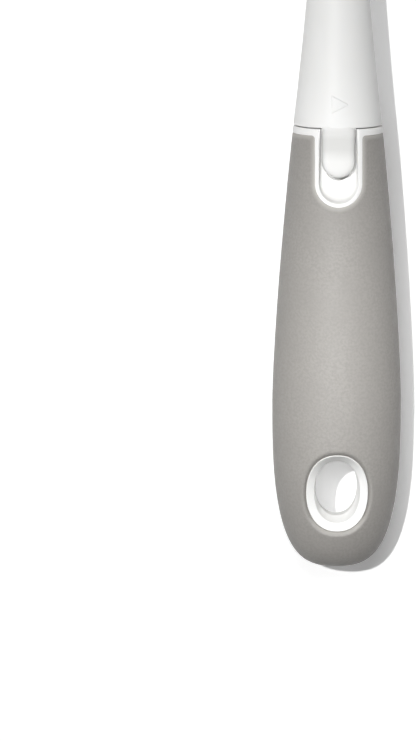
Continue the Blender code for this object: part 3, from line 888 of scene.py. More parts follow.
def well_path(reach):
    """The well's inner outline, drawn in by reach."""
    return on_sheet(tongue(WELL_INSIDE - reach, RIM_TOP_Y, WELL_CENTRE_Y, WELL_STEPS))


def slot_path(inset):
    """The slot's outline, drawn in by inset."""
    return on_sheet(tongue(SLOT_HALF_WIDTH - inset, RIM_TOP_Y, SLOT_ROUND_Y, SLOT_STEPS))


def core_sheet():
    sheet = Sheet()
    sheet.add(rim_line(CLIFF_WIDTH))
    for distance in round_steps(LAND_EDGE, LAND_LOOPS):
        sheet.add(rim_line(-distance))
    for distance in round_steps(RIM_EDGE, EDGE_LOOPS):
        sheet.add(line_round(RIM_TOP_Y - distance))
    for distance in round_steps(WELL_EDGE, EDGE_LOOPS):
        sheet.add(well_path(-distance))
    for distance in round_steps(WELL_FOOT, WELL_FOOT_LOOPS):
        sheet.add(well_path(WELL_DRAFT + distance))
    for inset in (0, CLIFF_WIDTH):
        sheet.add(slot_path(inset))
    oval = oval_loop(EYELET_GROW)
    loops = [sheet.add(on_sheet(oval, back), closed=True) for back in (False, True)]
    fill_sheet(sheet, CORE_ROW_STEP, SHEET_COLUMNS // 2, CORE_MARGIN)
    return sheet, loops


core_plan, eyelet_loops = core_sheet()
core_spots, core_faces, core_numbers = core_plan.triangles(lambda angle, y: edge_distances(angle, y)[1] > 0)
print("core sheet:", len(core_spots), "points,", len(core_faces), "triangles")

# %% [markdown]
# The eyelet is a stack of ovals. From the grip's edge they climb to a narrow ring, turn inward over a soft
# shoulder and fall as a steep cone to a lip. There the tunnel starts. It narrows a little down to the
# line where the two halves of the mould met, is straight behind it, and the back mouth flares again. The
# first and last ovals are the openings of the core's skin, so nothing has to be cut.

# %% The eyelet's ovals
EYELET_SINK = 0.0011
RING_LAND = 0.00015
RING_EDGE = 0.0001
LIP_HEIGHT = 0.0095
BACK_LIP_HEIGHT = 0.0045
LIP_EDGE = 0.00006
TUNNEL_DRAFT = 0.0005
BACK_DRAFT = 0.0001
PARTING_HEIGHT = 0.001
PARTING_RIDGE = 0.00006
RIDGE_FOOT = 0.0001
RIDGE_TOP = 0.00004
RING_LOOPS = 3
CONE_LOOPS = 14
CONE_SPREAD = 1.5
SHOULDER_POWER = 1.08


def face_height(x, y):
    """Height of the handle's front above its middle plane."""
    return on_handle(angle_of(x, y), y).z


def ring_oval(grow, height):
    return [Vector((x, y, height(x, y))) for x, y in oval_loop(grow)]


def mouth_ovals(side, lip_grow, lip_height):
    """Ovals of one mouth, from its outer wall to its lip. side is 1 on the front and -1 on the back."""
    ovals = []
    for distance in round_steps(RING_EDGE, RING_LOOPS):
        sink = EYELET_SINK + quarter_round(distance, RING_EDGE, RING_EDGE)
        ovals.append(ring_oval(EYELET_GROW - distance, lambda x, y: side * (face_height(x, y) - sink)))
    top = ring_oval(EYELET_GROW - RING_LAND, lambda x, y: side * (face_height(x, y) - EYELET_SINK))
    lip = ring_oval(lip_grow, lambda x, y: side * lip_height)
    ovals.append(top)
    for i in range(1, CONE_LOOPS + 1):
        inward = (i / CONE_LOOPS) ** CONE_SPREAD
        share = Vector((inward, inward, inward**SHOULDER_POWER))
        ovals.append([a + (b - a) * share for a, b in zip(top, lip)])
    return ovals


def tunnel_ovals():
    """Ovals down the tunnel, between the two lips, with the fine ridge at the parting line."""
    stations = [
        (LIP_HEIGHT - LIP_EDGE, TUNNEL_DRAFT - LIP_EDGE / 4),
        (PARTING_HEIGHT + RIDGE_FOOT, 0.0),
        (PARTING_HEIGHT + RIDGE_TOP, -PARTING_RIDGE),
        (PARTING_HEIGHT - RIDGE_TOP, -PARTING_RIDGE),
        (PARTING_HEIGHT - RIDGE_FOOT, BACK_DRAFT),
        (-BACK_LIP_HEIGHT + LIP_EDGE, BACK_DRAFT),
    ]
    return [ring_oval(grow, lambda x, y, z=z: z) for z, grow in stations]


front_mouth = mouth_ovals(1, TUNNEL_DRAFT, LIP_HEIGHT)
back_mouth = mouth_ovals(-1, 0.0, BACK_LIP_HEIGHT)
eyelet_ovals = front_mouth + tunnel_ovals() + back_mouth[::-1]
print("ovals in the eyelet:", len(eyelet_ovals))

# %% [markdown]
# The socket is seen when the head is drawn out: a round bore with a flat at the front, so that the neck
# goes in one way only. Its mouth and the rim's outer edge bound a flat ring face. That face is a flat
# sheet too, triangulated between its two outlines.

# %% The socket
SOCKET_RADIUS = 0.0093
SOCKET_FLAT = 0.007
SOCKET_CHAMFER = 0.0003
SOCKET_FLOOR_Y = SEAM_Y - 0.0315
PIN_RADIUS = 0.0073
PIN_FLAT = 0.006
PIN_TAPER = 0.72
CORED_Y = SOCKET_FLOOR_Y - 0.045


def keyed_ring(y, radius, flat, count=96):
    """A circle about the handle's axis, cut level at a flat on the front."""
    ring = []
    for i in range(count):
        turn = 2 * math.pi * (i + 0.5) / count
        ring.append(Vector((radius * math.cos(turn), y, min(radius * math.sin(turn), flat))))
    return ring


def skin_rings(bm, rings, close_last=True):
    """Skin through rings of verts with equal counts, and cap the last one."""
    for lower, upper in zip(rings, rings[1:]):
        for i in range(len(lower)):
            j = (i + 1) % len(lower)
            bm.faces.new((lower[i], lower[j], upper[j], upper[i]))
    if close_last:
        bm.faces.new(rings[-1])


def socket_rings():
    """Rings from the socket's mouth down its bore and into the narrower hollow that a core pin leaves."""
    return [
        keyed_ring(RIM_TOP_Y, SOCKET_RADIUS + SOCKET_CHAMFER, SOCKET_FLAT + SOCKET_CHAMFER),
        keyed_ring(RIM_TOP_Y - SOCKET_CHAMFER, SOCKET_RADIUS, SOCKET_FLAT),
        keyed_ring(SOCKET_FLOOR_Y, SOCKET_RADIUS, SOCKET_FLAT),
        keyed_ring(SOCKET_FLOOR_Y, PIN_RADIUS, PIN_FLAT),
        keyed_ring(CORED_Y, PIN_RADIUS * PIN_TAPER, PIN_FLAT),
    ]


print("the socket is", round((RIM_TOP_Y - SOCKET_FLOOR_Y) * MM, 1), "mm deep")


# %% The rim's face and the core
def inside_loop(x, z, loop):
    """Whether a point lies inside a loop of (x, z) points."""
    inside = False
    for (ax, az), (bx, bz) in zip(loop, loop[1:] + loop[:1]):
        if (az > z) != (bz > z) and x < (bx - ax) * (z - az) / (bz - az) + ax:
            inside = not inside
    return inside


def chained(edges):
    """Put open edges in order round their loop."""
    after = dict(edges)
    first = edges[0][0]
    loop = [first]
    while after[loop[-1]] != first:
        loop.append(after[loop[-1]])
    return loop


def face_between(bm, outer, inner):
    """Fill the flat ring between two loops of verts that share one y."""
    verts = outer + inner
    flat = [Vector((v.co.x * MM, v.co.z * MM)) for v in verts]
    n = len(outer)
    edges = [(i, (i + 1) % n) for i in range(n)]
    edges += [(n + i, n + (i + 1) % len(inner)) for i in range(len(inner))]
    places, _, faces, sources, _, _ = delaunay_2d_cdt(flat, edges, [], 0, FINE_TOLERANCE, True)
    around = [tuple(p) for p in flat[:n]]
    bore = [tuple(p) for p in flat[n:]]
    for face in faces:
        x = sum(places[i].x for i in face) / 3
        z = sum(places[i].y for i in face) / 3
        if inside_loop(x, z, around) and not inside_loop(x, z, bore):
            bm.faces.new([verts[sources[i][0]] for i in face])


def make_core():
    bm = bmesh.new()
    skin = [bm.verts.new(core_point(angle, y)) for angle, y in core_spots]
    for face in core_faces:
        bm.faces.new([skin[i] for i in face])
    rest = open_edges(core_faces)
    close_end(bm, last_row(core_spots, rest), skin, (0, END_Y + GRIP_THICKNESS, 0))
    lowest_top = RIM_TOP_Y - FINE_TOLERANCE
    top = [(a, b) for a, b in rest if min(core_spots[a][1], core_spots[b][1]) > lowest_top]
    rim = [skin[i] for i in chained(top)]
    bore = [[bm.verts.new(p) for p in ring] for ring in socket_rings()]
    skin_rings(bm, bore)
    face_between(bm, rim, bore[0])
    front, back = [[skin[core_numbers[i]] for i in loop] for loop in eyelet_loops]
    ovals = [[bm.verts.new(p) for p in oval] for oval in eyelet_ovals]
    skin_rings(bm, [front] + ovals + [back], close_last=False)
    drop_loose(bm)
    return finished_piece("white_core", bm, core_plastic)


core = make_core()
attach(core, "handle")
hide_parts("handle_core")

# %% [markdown]
# The neck is a turned form: a radius for every place along it, flaring down to the seam. Its skirt ends in
# a small round edge that catches the light above the seam. Below it the hollow spigot carries the same flat
# as the socket. Rings with equal counts of points are skinned from the wire's bore over the top, down the
# outside and up into the hollow, so the piece is closed.

# %% The neck's form
NECK_LENGTH = 0.098
NECK_TOP_Y = SEAM_Y + NECK_LENGTH
STEM_RADIUS = 0.005
STEM_FILLET = 0.0018
NECK_FLARE_POWER = 1.6
SKIRT_EDGE = 0.00028
SPIGOT_RADIUS = 0.009
SPIGOT_FLAT = 0.0067
SPIGOT_LENGTH = 0.030
SPIGOT_LEAD = 0.0008
SPIGOT_WALL = 0.002
HOLLOW_TOP_Y = SEAM_Y + 0.046
BORE_RADIUS = 0.00255
BORE_FLOOR_Y = NECK_TOP_Y - 0.0263
BORE_CHAMFER = 0.0002
NECK_COLUMNS = 128
FILLET_STEPS = 10
NECK_STEPS = 64
SKIRT_STEPS = 5


def neck_radius(y):
    rise = min(max((y - SEAM_Y) / NECK_LENGTH, 0), 1)
    return STEM_RADIUS + (SEAM_RADIUS - STEM_RADIUS) * (1 - rise) ** NECK_FLARE_POWER


def turned_ring(y, radius):
    return keyed_ring(y, radius, radius, NECK_COLUMNS)


def neck_outside():
    """Rings from the top of the neck down to its skirt's edge."""
    shoulder_y = NECK_TOP_Y - STEM_FILLET
    shoulder = neck_radius(shoulder_y)
    rings = []
    for i in range(FILLET_STEPS + 1):
        turn = 0.5 * math.pi * i / FILLET_STEPS
        radius = shoulder - STEM_FILLET * (1 - math.sin(turn))
        rings.append(turned_ring(shoulder_y + STEM_FILLET * math.cos(turn), radius))
    low = SEAM_Y + SKIRT_EDGE
    for i in range(1, NECK_STEPS + 1):
        y = shoulder_y + (low - shoulder_y) * i / NECK_STEPS
        rings.append(turned_ring(y, neck_radius(y)))
    for i in range(1, SKIRT_STEPS + 1):
        turn = 0.5 * math.pi * i / SKIRT_STEPS
        radius = neck_radius(low) - SKIRT_EDGE * (1 - math.cos(turn))
        rings.append(turned_ring(low - SKIRT_EDGE * math.sin(turn), radius))
    return rings


def spigot_rings():
    """Rings down the outside of the spigot, over its lead-in, and up the hollow."""
    end_y = SEAM_Y - SPIGOT_LENGTH
    inner = SPIGOT_RADIUS - SPIGOT_WALL
    inner_flat = SPIGOT_FLAT - SPIGOT_WALL
    top = (neck_radius(HOLLOW_TOP_Y) - SPIGOT_WALL) / 2
    places = [
        (SEAM_Y, SPIGOT_RADIUS, SPIGOT_FLAT),
        (end_y + SPIGOT_LEAD, SPIGOT_RADIUS, SPIGOT_FLAT),
        (end_y, SPIGOT_RADIUS - SPIGOT_LEAD / 2, SPIGOT_FLAT - SPIGOT_LEAD / 2),
        (end_y, inner, inner_flat),
        (SEAM_Y, inner, inner_flat),
        (HOLLOW_TOP_Y, top, top),
    ]
    return [keyed_ring(y, radius, flat, NECK_COLUMNS) for y, radius, flat in places]


print("neck radius half way up:", round(neck_radius(SEAM_Y + NECK_LENGTH / 2) * MM, 2), "mm")

# %% [markdown]
# A small raised triangle stands on the neck's skirt, above the tab. It is a plateau a fifth of a
# millimetre high with soft edges. Loops of a rounded triangle shrink to its middle, and each loop's height
# over the neck follows from how far it has come in.

# %% The raised triangle
MARK_CORNERS = [(-0.00204, 0.11622), (-0.00204, 0.11112), (0.00283, 0.11367)]
MARK_CORNER_RADIUS = 0.0002
MARK_HEIGHT = 0.0002
MARK_EDGE = 0.0002
MARK_ROOT = 0.00006
MARK_EDGE_LOOPS = 8
MARK_TOP_INSETS = [0.0005, 0.001]
MARK_SIDE_STEPS = 8
MARK_CORNER_STEPS = 6


def middle_of(corners):
    """The centre of a triangle's inscribed circle and its radius."""
    sides = [math.dist(corners[(i + 1) % 3], corners[(i + 2) % 3]) for i in range(3)]
    total = sum(sides)
    centre = Vector([sum(s * c[k] for s, c in zip(sides, corners)) / total for k in (0, 1)])
    half = total / 2
    area = math.sqrt(half * (half - sides[0]) * (half - sides[1]) * (half - sides[2]))
    return centre, area / half


def rounded_triangle(corners, radius):
    """An outline with round corners, through three corners in their order."""
    outline = []
    for i in range(3):
        before, corner, after = (Vector(corners[(i + k) % 3]) for k in (-1, 0, 1))
        one = (before - corner).normalized()
        two = (after - corner).normalized()
        reach = radius / math.tan(one.angle(two) / 2)
        hub = corner + (one + two).normalized() * radius / math.sin(one.angle(two) / 2)
        start = corner + one * reach - hub
        stop = corner + two * reach - hub
        turn = start.angle_signed(stop)
        for step in range(MARK_CORNER_STEPS + 1):
            angle = -turn * step / MARK_CORNER_STEPS
            outline.append(hub + Matrix.Rotation(angle, 2) @ start)
        length = (after - corner).length - 2 * reach
        for step in range(1, MARK_SIDE_STEPS):
            outline.append(hub + stop + two * length * step / MARK_SIDE_STEPS)
    return outline


def on_neck(x, y, height):
    """A point raised over the neck's surface, x being measured round it."""
    radius = neck_radius(y)
    return Vector(((radius + height) * math.sin(x / radius), y, (radius + height) * math.cos(x / radius)))


def add_mark(bm):
    outline = rounded_triangle(MARK_CORNERS, MARK_CORNER_RADIUS)
    centre, inradius = middle_of(MARK_CORNERS)
    edge_insets = [MARK_EDGE * i / MARK_EDGE_LOOPS for i in range(MARK_EDGE_LOOPS + 1)]
    loops = []
    for inset in edge_insets + MARK_TOP_INSETS:
        height = (MARK_HEIGHT + MARK_ROOT) * smooth_step(inset, 0, MARK_EDGE) - MARK_ROOT
        scale = 1 - inset / inradius
        loops.append([bm.verts.new(on_neck(*(centre + (p - centre) * scale), height)) for p in outline])
    skin_rings(bm, loops, close_last=False)
    peak = bm.verts.new(on_neck(*centre, MARK_HEIGHT))
    root = bm.verts.new(on_neck(*centre, -MARK_ROOT * 3))
    for loop, tip in ((loops[0], root), (loops[-1], peak)):
        for i in range(len(loop)):
            bm.faces.new((loop[i], loop[(i + 1) % len(loop)], tip))


print("the triangle stands", MARK_HEIGHT * MM, "mm high")


# %% The neck
def make_neck():
    bm = bmesh.new()
    bore = [turned_ring(y, BORE_RADIUS) for y in (BORE_FLOOR_Y, NECK_TOP_Y - BORE_CHAMFER)]
    bore.append(turned_ring(NECK_TOP_Y, BORE_RADIUS + BORE_CHAMFER))
    rings = [[bm.verts.new(p) for p in ring] for ring in bore + neck_outside() + spigot_rings()]
    skin_rings(bm, rings)
    bm.faces.new(rings[0])
    add_mark(bm)
    return finished_piece("white_neck", bm, neck_plastic)


neck = make_neck()
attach(neck, "brush_head")
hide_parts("neck")

# %% [markdown]
# The press tab is a tongue of the same moulding: the neck's surface flows over the seam into it, rises to a
# low ridge, dips where the thumb presses, and rises again to a round tip. It is made as a flat sheet with
# loops along its edge, and the height of each point is read off a profile.

# %% The tab's profile
TAB_LENGTH = 0.0131
TAB_HALF_WIDTH = 0.0043
TAB_FLARE = 0.0003
TAB_TIP_Y = SEAM_Y - TAB_LENGTH
TAB_ROUND_Y = TAB_TIP_Y + TAB_HALF_WIDTH
TAB_INSIDE_Y = SEAM_Y + 0.0022
TAB_UNDERSIDE = 0.0106
TAB_SIDE_ROLL = 0.0014
TAB_TIP_ROLL = 0.0023
TAB_ROLL_DEPTH = 0.0009
TAB_CROWN = 0.00025
MERGE_START_Y = SEAM_Y - 0.0015
MERGE_END_Y = SEAM_Y + 0.0004
TAB_PROFILE = [
    (-0.0022, 0.01130), (-0.0012, 0.01178), (-0.0003, 0.01203), (0.0006, 0.01221), (0.0013, 0.01246),
    (0.0020, 0.01258), (0.0032, 0.01255), (0.0048, 0.01239), (0.0062, 0.01228), (0.0074, 0.01235),
    (0.0088, 0.01268), (0.0101, 0.01297), (0.0112, 0.01304), (0.0131, 0.01285), (0.0140, 0.0127),
]


def along_profile(place):
    """Height of the tab's middle line at a distance below the seam, on a curve through its profile."""
    next_point = next((k for k, (d, _) in enumerate(TAB_PROFILE) if d > place), 1)
    first = max(1, min(len(TAB_PROFILE) - 3, next_point - 1)) - 1
    (d0, h0), (d1, h1), (d2, h2), (d3, h3) = TAB_PROFILE[first:first + 4]
    share = (place - d1) / (d2 - d1)
    slope1 = (h2 - h0) / (d2 - d0) * (d2 - d1)
    slope2 = (h3 - h1) / (d3 - d1) * (d2 - d1)
    cubed, squared = share**3, share**2
    value = h1 * (2 * cubed - 3 * squared + 1) + h2 * (3 * squared - 2 * cubed)
    return value + slope1 * (cubed - 2 * squared + share) + slope2 * (cubed - squared)


def into_tab(x, y):
    """How far a point lies inside the tab's outline, and how much it belongs to the round tip."""
    if y > TAB_ROUND_Y:
        return TAB_HALF_WIDTH - abs(x), 0.0
    reach = math.hypot(x, y - TAB_ROUND_Y)
    return TAB_HALF_WIDTH - reach, (TAB_ROUND_Y - y) / max(reach, TINY)


def tab_height(x, y):
    """Height of the tab's top. Towards its root it takes on the neck's roundness."""
    distance, tipward = into_tab(x, y)
    width = TAB_SIDE_ROLL + (TAB_TIP_ROLL - TAB_SIDE_ROLL) * tipward**2
    neckward = smooth_step(y, MERGE_START_Y, MERGE_END_Y)
    neck_fall = SEAM_RADIUS - math.sqrt(SEAM_RADIUS**2 - x * x)
    own_fall = TAB_CROWN * (x / TAB_HALF_WIDTH) ** 2
    fall = neck_fall * neckward + own_fall * (1 - neckward)
    return along_profile(SEAM_Y - y) - fall - quarter_round(max(distance, 0), width, TAB_ROLL_DEPTH)


print("tab profile in mm:", [round(along_profile(d / MM) * MM, 2) for d in range(-1, 14)])


# %% The tab
TAB_STEPS = (26, 40)
TAB_LOOPS = 10
TAB_ROWS = 40
TAB_ROWS_GAP = 0.003
TAB_COLUMNS = 9
TAB_COLUMN_STEP = 0.0005
TAB_COLUMNS_REACH = 0.002
TAB_MARGIN = 0.0002
CATCH_LENGTH = 0.002
CATCH_FACE_Y = TAB_TIP_Y + 0.0015 + CATCH_LENGTH
CATCH_LEVELS = [
    (0.0109, CATCH_LENGTH, 0.0018),
    (0.0099, 0.0019, 0.0018),
    (0.0093, 0.0015, 0.0017),
    (0.0091, 0.0012, 0.0015),
]


def tab_sheet():
    """The tab's sheet: loops drawn in from its outline, and a grid along its middle."""
    sheet = Sheet()
    for inset in round_steps(TAB_TIP_ROLL, TAB_LOOPS):
        outline = tongue(TAB_HALF_WIDTH - inset, TAB_INSIDE_Y - inset, TAB_ROUND_Y, TAB_STEPS)
        sheet.add([(x / SHEET_RADIUS, y) for x, y in outline], closed=True)
    length = TAB_INSIDE_Y - TAB_ROWS_GAP - TAB_ROUND_Y
    for i in range(TAB_ROWS):
        for j in range(TAB_COLUMNS):
            x = -TAB_COLUMNS_REACH + TAB_COLUMN_STEP * j
            y = TAB_ROUND_Y + length * (i + 0.5) / TAB_ROWS
            if into_tab(x, y)[0] > TAB_TIP_ROLL + TAB_MARGIN:
                sheet.points.append((x / SHEET_RADIUS, y))
    return sheet


def add_catch(bm):
    """The catch under the tab: a wedge with a square face that holds the neck in.
    Its levels, from the top down, are each a height, a length and half a width."""
    rings = []
    for z, length, half in CATCH_LEVELS:
        sole = [(half, -length), (half, 0), (-half, 0), (-half, -length)]
        rings.append([bm.verts.new((x, CATCH_FACE_Y + y, z)) for x, y in sole])
    skin_rings(bm, rings)
    bm.faces.new(rings[0])


def make_tab():
    bm = bmesh.new()
    spots, faces, _ = tab_sheet().triangles(lambda angle, y: into_tab(angle * SHEET_RADIUS, y)[0] > 0)
    flat = [(angle * SHEET_RADIUS, y) for angle, y in spots]
    flare = 1 + TAB_FLARE / TAB_HALF_WIDTH
    upper = [bm.verts.new((x, y, tab_height(x, y))) for x, y in flat]
    lower = []
    for x, y in flat:
        low_y = TAB_ROUND_Y + (y - TAB_ROUND_Y) * (flare if y < TAB_ROUND_Y else 1)
        lower.append(bm.verts.new((x * flare, low_y, TAB_UNDERSIDE)))
    for face in faces:
        bm.faces.new([upper[i] for i in face])
        bm.faces.new([lower[i] for i in reversed(face)])
    for a, b in open_edges(faces):
        bm.faces.new((upper[b], upper[a], lower[a], lower[b]))
    drop_loose(bm)
    add_catch(bm)
    return finished_piece("press_tab", bm, tab_plastic)


tab = make_tab()
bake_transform(tab)
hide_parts("release_tab")

# %% [markdown]
# What repeats or follows a path is made with Geometry Nodes. A tree is a recipe: sizes come in through
# named inputs, so the brush could be made longer or more tightly twisted, and a mesh comes out. This helper
# adds those inputs, plain names for the sums, and the last boxes to the tree, runs it, and keeps the mesh.

# %% A helper for recipes
class Recipe(Boxes):
    """A Geometry Nodes tree with named sizes, whose result ends as a plain mesh with one finish."""

    def __init__(self, name):
        super().__init__(bpy.data.node_groups.new(name, "GeometryNodeTree"))
        self.tree.interface.new_socket("Geometry", in_out="OUTPUT", socket_type="NodeSocketGeometry")
        self.entry = self.node("NodeGroupInput")
        self.sizes = {}

    def size(self, name, value, kind="NodeSocketFloat"):
        """A named input, with the value it will be given."""
        socket = self.tree.interface.new_socket(name, in_out="INPUT", socket_type=kind)
        self.sizes[socket.identifier] = value
        return self.entry.outputs[name]

    def add(self, a, b):
        return self.sum("ADD", a, b)

    def less(self, a, b):
        return self.sum("SUBTRACT", a, b)

    def times(self, a, b):
        return self.sum("MULTIPLY", a, b)

    def over(self, a, b):
        return self.sum("DIVIDE", a, b)

    def vector(self, x, y, z):
        return self.node("ShaderNodeCombineXYZ", {"X": x, "Y": y, "Z": z}).outputs[0]

    def tube(self, path, sides, radius):
        """A capped tube along a path."""
        section = self.node("GeometryNodeCurvePrimitiveCircle", {"Resolution": sides, "Radius": radius})
        parts = {"Curve": path, "Profile Curve": section.outputs[0], "Fill Caps": True}
        return self.node("GeometryNodeCurveToMesh", parts).outputs[0]

    def bake(self, name, geometry, finish):
        """End the tree, run it on an empty mesh, and keep the result as a plain mesh."""
        real = self.node("GeometryNodeRealizeInstances", {"Geometry": geometry})
        smooth = self.node("GeometryNodeSetShadeSmooth", {"Geometry": real.outputs[0]})
        coated = self.node("GeometryNodeSetMaterial", {"Geometry": smooth.outputs[0], "Material": finish})
        self.node("NodeGroupOutput", {0: coated.outputs[0]})
        blank = add_object(name + "_blank", bpy.data.meshes.new(name + "_blank"))
        modifier = blank.modifiers.new("recipe", "NODES")
        modifier.node_group = self.tree
        for identifier, value in self.sizes.items():
            modifier[identifier] = value
        depsgraph = bpy.context.evaluated_depsgraph_get()
        mesh = bpy.data.meshes.new_from_object(blank.evaluated_get(depsgraph), depsgraph=depsgraph)
        mesh.name = name
        blank.modifiers.remove(modifier)
        bpy.data.objects.remove(blank)
        print(name + ":", len(mesh.polygons), "faces")
        return add_object(name, mesh)


print("a recipe adds:", [name for name in vars(Recipe) if not name.startswith("_")])

# %% [markdown]
# The wire is stainless steel, drawn through a die that leaves it bright, with fine scratches along it. A
# metal shader does that without a picture: its grey and its roughness vary with noise that is stretched
# along the brush.

# %% Steel
DULL_STEEL = (0.6, 0.6, 0.585)
BRIGHT_STEEL = (0.68, 0.68, 0.67)


def drawn_steel():
    """Bright wire with the fine scratches of the die it was drawn through."""
    made = Finish("drawn_steel", 0.28, metallic=1.0)
    made.colour(made.between(made.noise(500), CLOUD_SPAN, DULL_STEEL, BRIGHT_STEEL))
    made.rough(made.noise(1500, stretch=(1, 0.15, 1)), smooth=0.2, coarse=0.36)
    made.bump((made.noise(5000, detail=1.0, stretch=(1, 0.1, 1)), 0.00001))
    return made.material


steel = drawn_steel()
print("steel:", steel.name)

# %% [markdown]
# The twisted wire is one rod, folded in half round its tip and wound on itself. Two separate helices would
# need a third piece for the fold, so the rule is to walk along one rod, from one foot over the fold to the
# other, and to turn each point about the axis by how far the twist has run at its height. The twist starts
# and ends gently.

# %% The twisted wire
WIRE_RADIUS = 0.0009
WIRE_OFFSET = 0.00135
WIRE_FOOT_Y = NECK_TOP_Y - 0.026
TWIST_START_Y = WIRE_FOOT_Y + 0.0018
HEAD_START_Y = NECK_TOP_Y + 0.012
HEAD_LENGTH = 0.0945
HEAD_END_Y = HEAD_START_Y + HEAD_LENGTH
TWIST_PITCH = 0.014
TWIST_EASE = 0.004
WIRE_POINTS = 900
WIRE_SIDES = 14


def add_twist_sizes(recipe):
    """The inputs of the twist, which the wire and the bristles share."""
    names = {"Twist start": TWIST_START_Y, "Head end": HEAD_END_Y, "Ease": TWIST_EASE, "Pitch": TWIST_PITCH}
    return [recipe.size(name, value) for name, value in names.items()]


def twist_at(recipe, y, start, end, ease, pitch):
    """How far the wire has turned at y, in radians: steady, and easing to straight at both ends."""
    r = recipe
    run = r.sum("MINIMUM", r.sum("MAXIMUM", r.less(y, start), 0.0), r.less(end, start))
    left = r.less(r.less(end, start), run)
    first, last = [r.sum("POWER", r.sum("MAXIMUM", r.less(ease, gone), 0.0), 2.0) for gone in (run, left)]
    eased = r.over(r.less(first, last), r.times(ease, 2.0))
    turned = r.add(r.less(run, r.over(ease, 2.0)), eased)
    return r.times(r.over(turned, pitch), 2 * math.pi)


def make_wire():
    r = Recipe("twisted wire")
    twist = add_twist_sizes(r)
    end = twist[1]
    foot = r.size("Foot", WIRE_FOOT_Y)
    offset = r.size("Offset", WIRE_OFFSET)
    thickness = r.size("Radius", WIRE_RADIUS)
    count = r.size("Points", WIRE_POINTS, "NodeSocketInt")
    quarter = r.times(offset, math.pi / 2)
    half_length = r.add(r.less(end, foot), quarter)
    ends = {"Start": r.vector(0.0, 0.0, r.times(half_length, -1.0)), "End": r.vector(0.0, 0.0, half_length)}
    line = r.node("GeometryNodeCurvePrimitiveLine", ends)
    rod = r.node("GeometryNodeResampleCurve", {"Curve": line.outputs[0], "Count": count})
    place = r.node("GeometryNodeInputPosition")
    walked = r.node("ShaderNodeSeparateXYZ", {"Vector": place.outputs[0]}).outputs["Z"]
    bend = r.sum("MAXIMUM", r.sum("MINIMUM", r.over(walked, offset), math.pi / 2), -math.pi / 2)
    across = r.times(r.times(offset, r.sum("SINE", bend)), -1.0)
    straight = r.sum("MAXIMUM", r.less(r.sum("ABSOLUTE", walked), quarter), 0.0)
    y = r.less(r.add(end, r.times(offset, r.sum("COSINE", bend))), straight)
    angle = twist_at(r, y, *twist)
    spot = r.vector(r.times(across, r.sum("COSINE", angle)), y, r.times(across, r.sum("SINE", angle)))
    wound = r.node("GeometryNodeSetPosition", {"Geometry": rod.outputs[0], "Position": spot})
    return r.bake("wound_wire", r.tube(wound.outputs[0], WIRE_SIDES, thickness), steel)


wire = make_wire()
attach(wire, "brush_head")
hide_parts("twisted_wire")

# %% [markdown]
# Nylon filament is milky and half glossy, and its white differs a little from strand to strand. Noise on the
# object's own coordinates is enough for that, because a strand is thinner than one of its cells.

# %% Nylon
DULL_NYLON = (0.78, 0.78, 0.76)
BRIGHT_NYLON = (0.92, 0.92, 0.9)


def white_nylon():
    """Milky filament, a little different from strand to strand."""
    made = Finish("white_nylon", 0.32)
    made.colour(made.between(made.noise(900, detail=1.0), NOISE_SPAN, DULL_NYLON, BRIGHT_NYLON))
    made.rough(made.noise(300, detail=1.0), smooth=0.28, coarse=0.4)
    return made.material


nylon = white_nylon()
print("nylon:", nylon.name)

# %% [markdown]
# The bristles are cut filaments pinched between the two wires, so at every place they leave to two sides,
# and the twist turns them into a spiral. Each filament differs a little in length, lean and fan. Blender's
# hair would do for a picture, but the exported model needs meshes. So points along the axis carry one
# straight strand each, a gentle bend comes after, and the strands become tubes. Three sides are enough for
# something a quarter of a millimetre thick.

# %% How the filaments stand
HEAD_RADIUS = 0.024
HEAD_START_SHARE = 0.84
LEAD_SHARE = 0.2
DOME_START_SHARE = 0.8
DOME_RADIUS_SHARE = 0.56
STRAND_COUNT = 5600
STRAND_RADIUS = 0.00012
STRAND_FAN = math.radians(24)
STRAND_LEAN = 0.0024
TIP_LEAN = 0.009
LENGTH_SPREAD = 0.03
STRAND_BEND = 0.0012
BEND_CELLS = 160.0
STRAND_POINTS = 6
STRAND_SIDES = 3
BRISTLE_SEED = 7


def head_reach(recipe, share, full):
    """The bristles' reach from the axis: a short lead-in, a straight body and a domed tip."""
    r = recipe
    lead = r.sum("MINIMUM", r.over(share, LEAD_SHARE), 1.0)
    opening = r.times(r.sum("SINE", r.times(lead, math.pi / 2)), 1 - HEAD_START_SHARE)
    dome = r.sum("MAXIMUM", r.over(r.less(share, DOME_START_SHARE), 1 - DOME_START_SHARE), 0.0)
    closing = r.times(r.sum("POWER", dome, 2.0), 1 - DOME_RADIUS_SHARE)
    return r.times(full, r.less(r.add(opening, HEAD_START_SHARE), closing)), dome


def strand_points(recipe, count, start, length, seed):
    """Points up the head's axis in even steps, each moved on by a random part of a step."""
    r = recipe
    number = r.node("GeometryNodeInputIndex").outputs[0]
    jitter = r.node("FunctionNodeRandomValue", {"Seed": seed}, data_type="FLOAT").outputs[1]
    share = r.over(r.add(number, jitter), count)
    y = r.add(start, r.times(share, length))
    points = r.node("GeometryNodePoints", {"Count": count, "Position": r.vector(0.0, y, 0.0)})
    return points.outputs[0]


def random_between(recipe, low, high, seed, offset):
    """A random number for each point, with a seed of its own."""
    own = recipe.add(seed, float(offset))
    made = recipe.node("FunctionNodeRandomValue", {2: low, 3: high, "Seed": own}, data_type="FLOAT")
    return made.outputs[1]


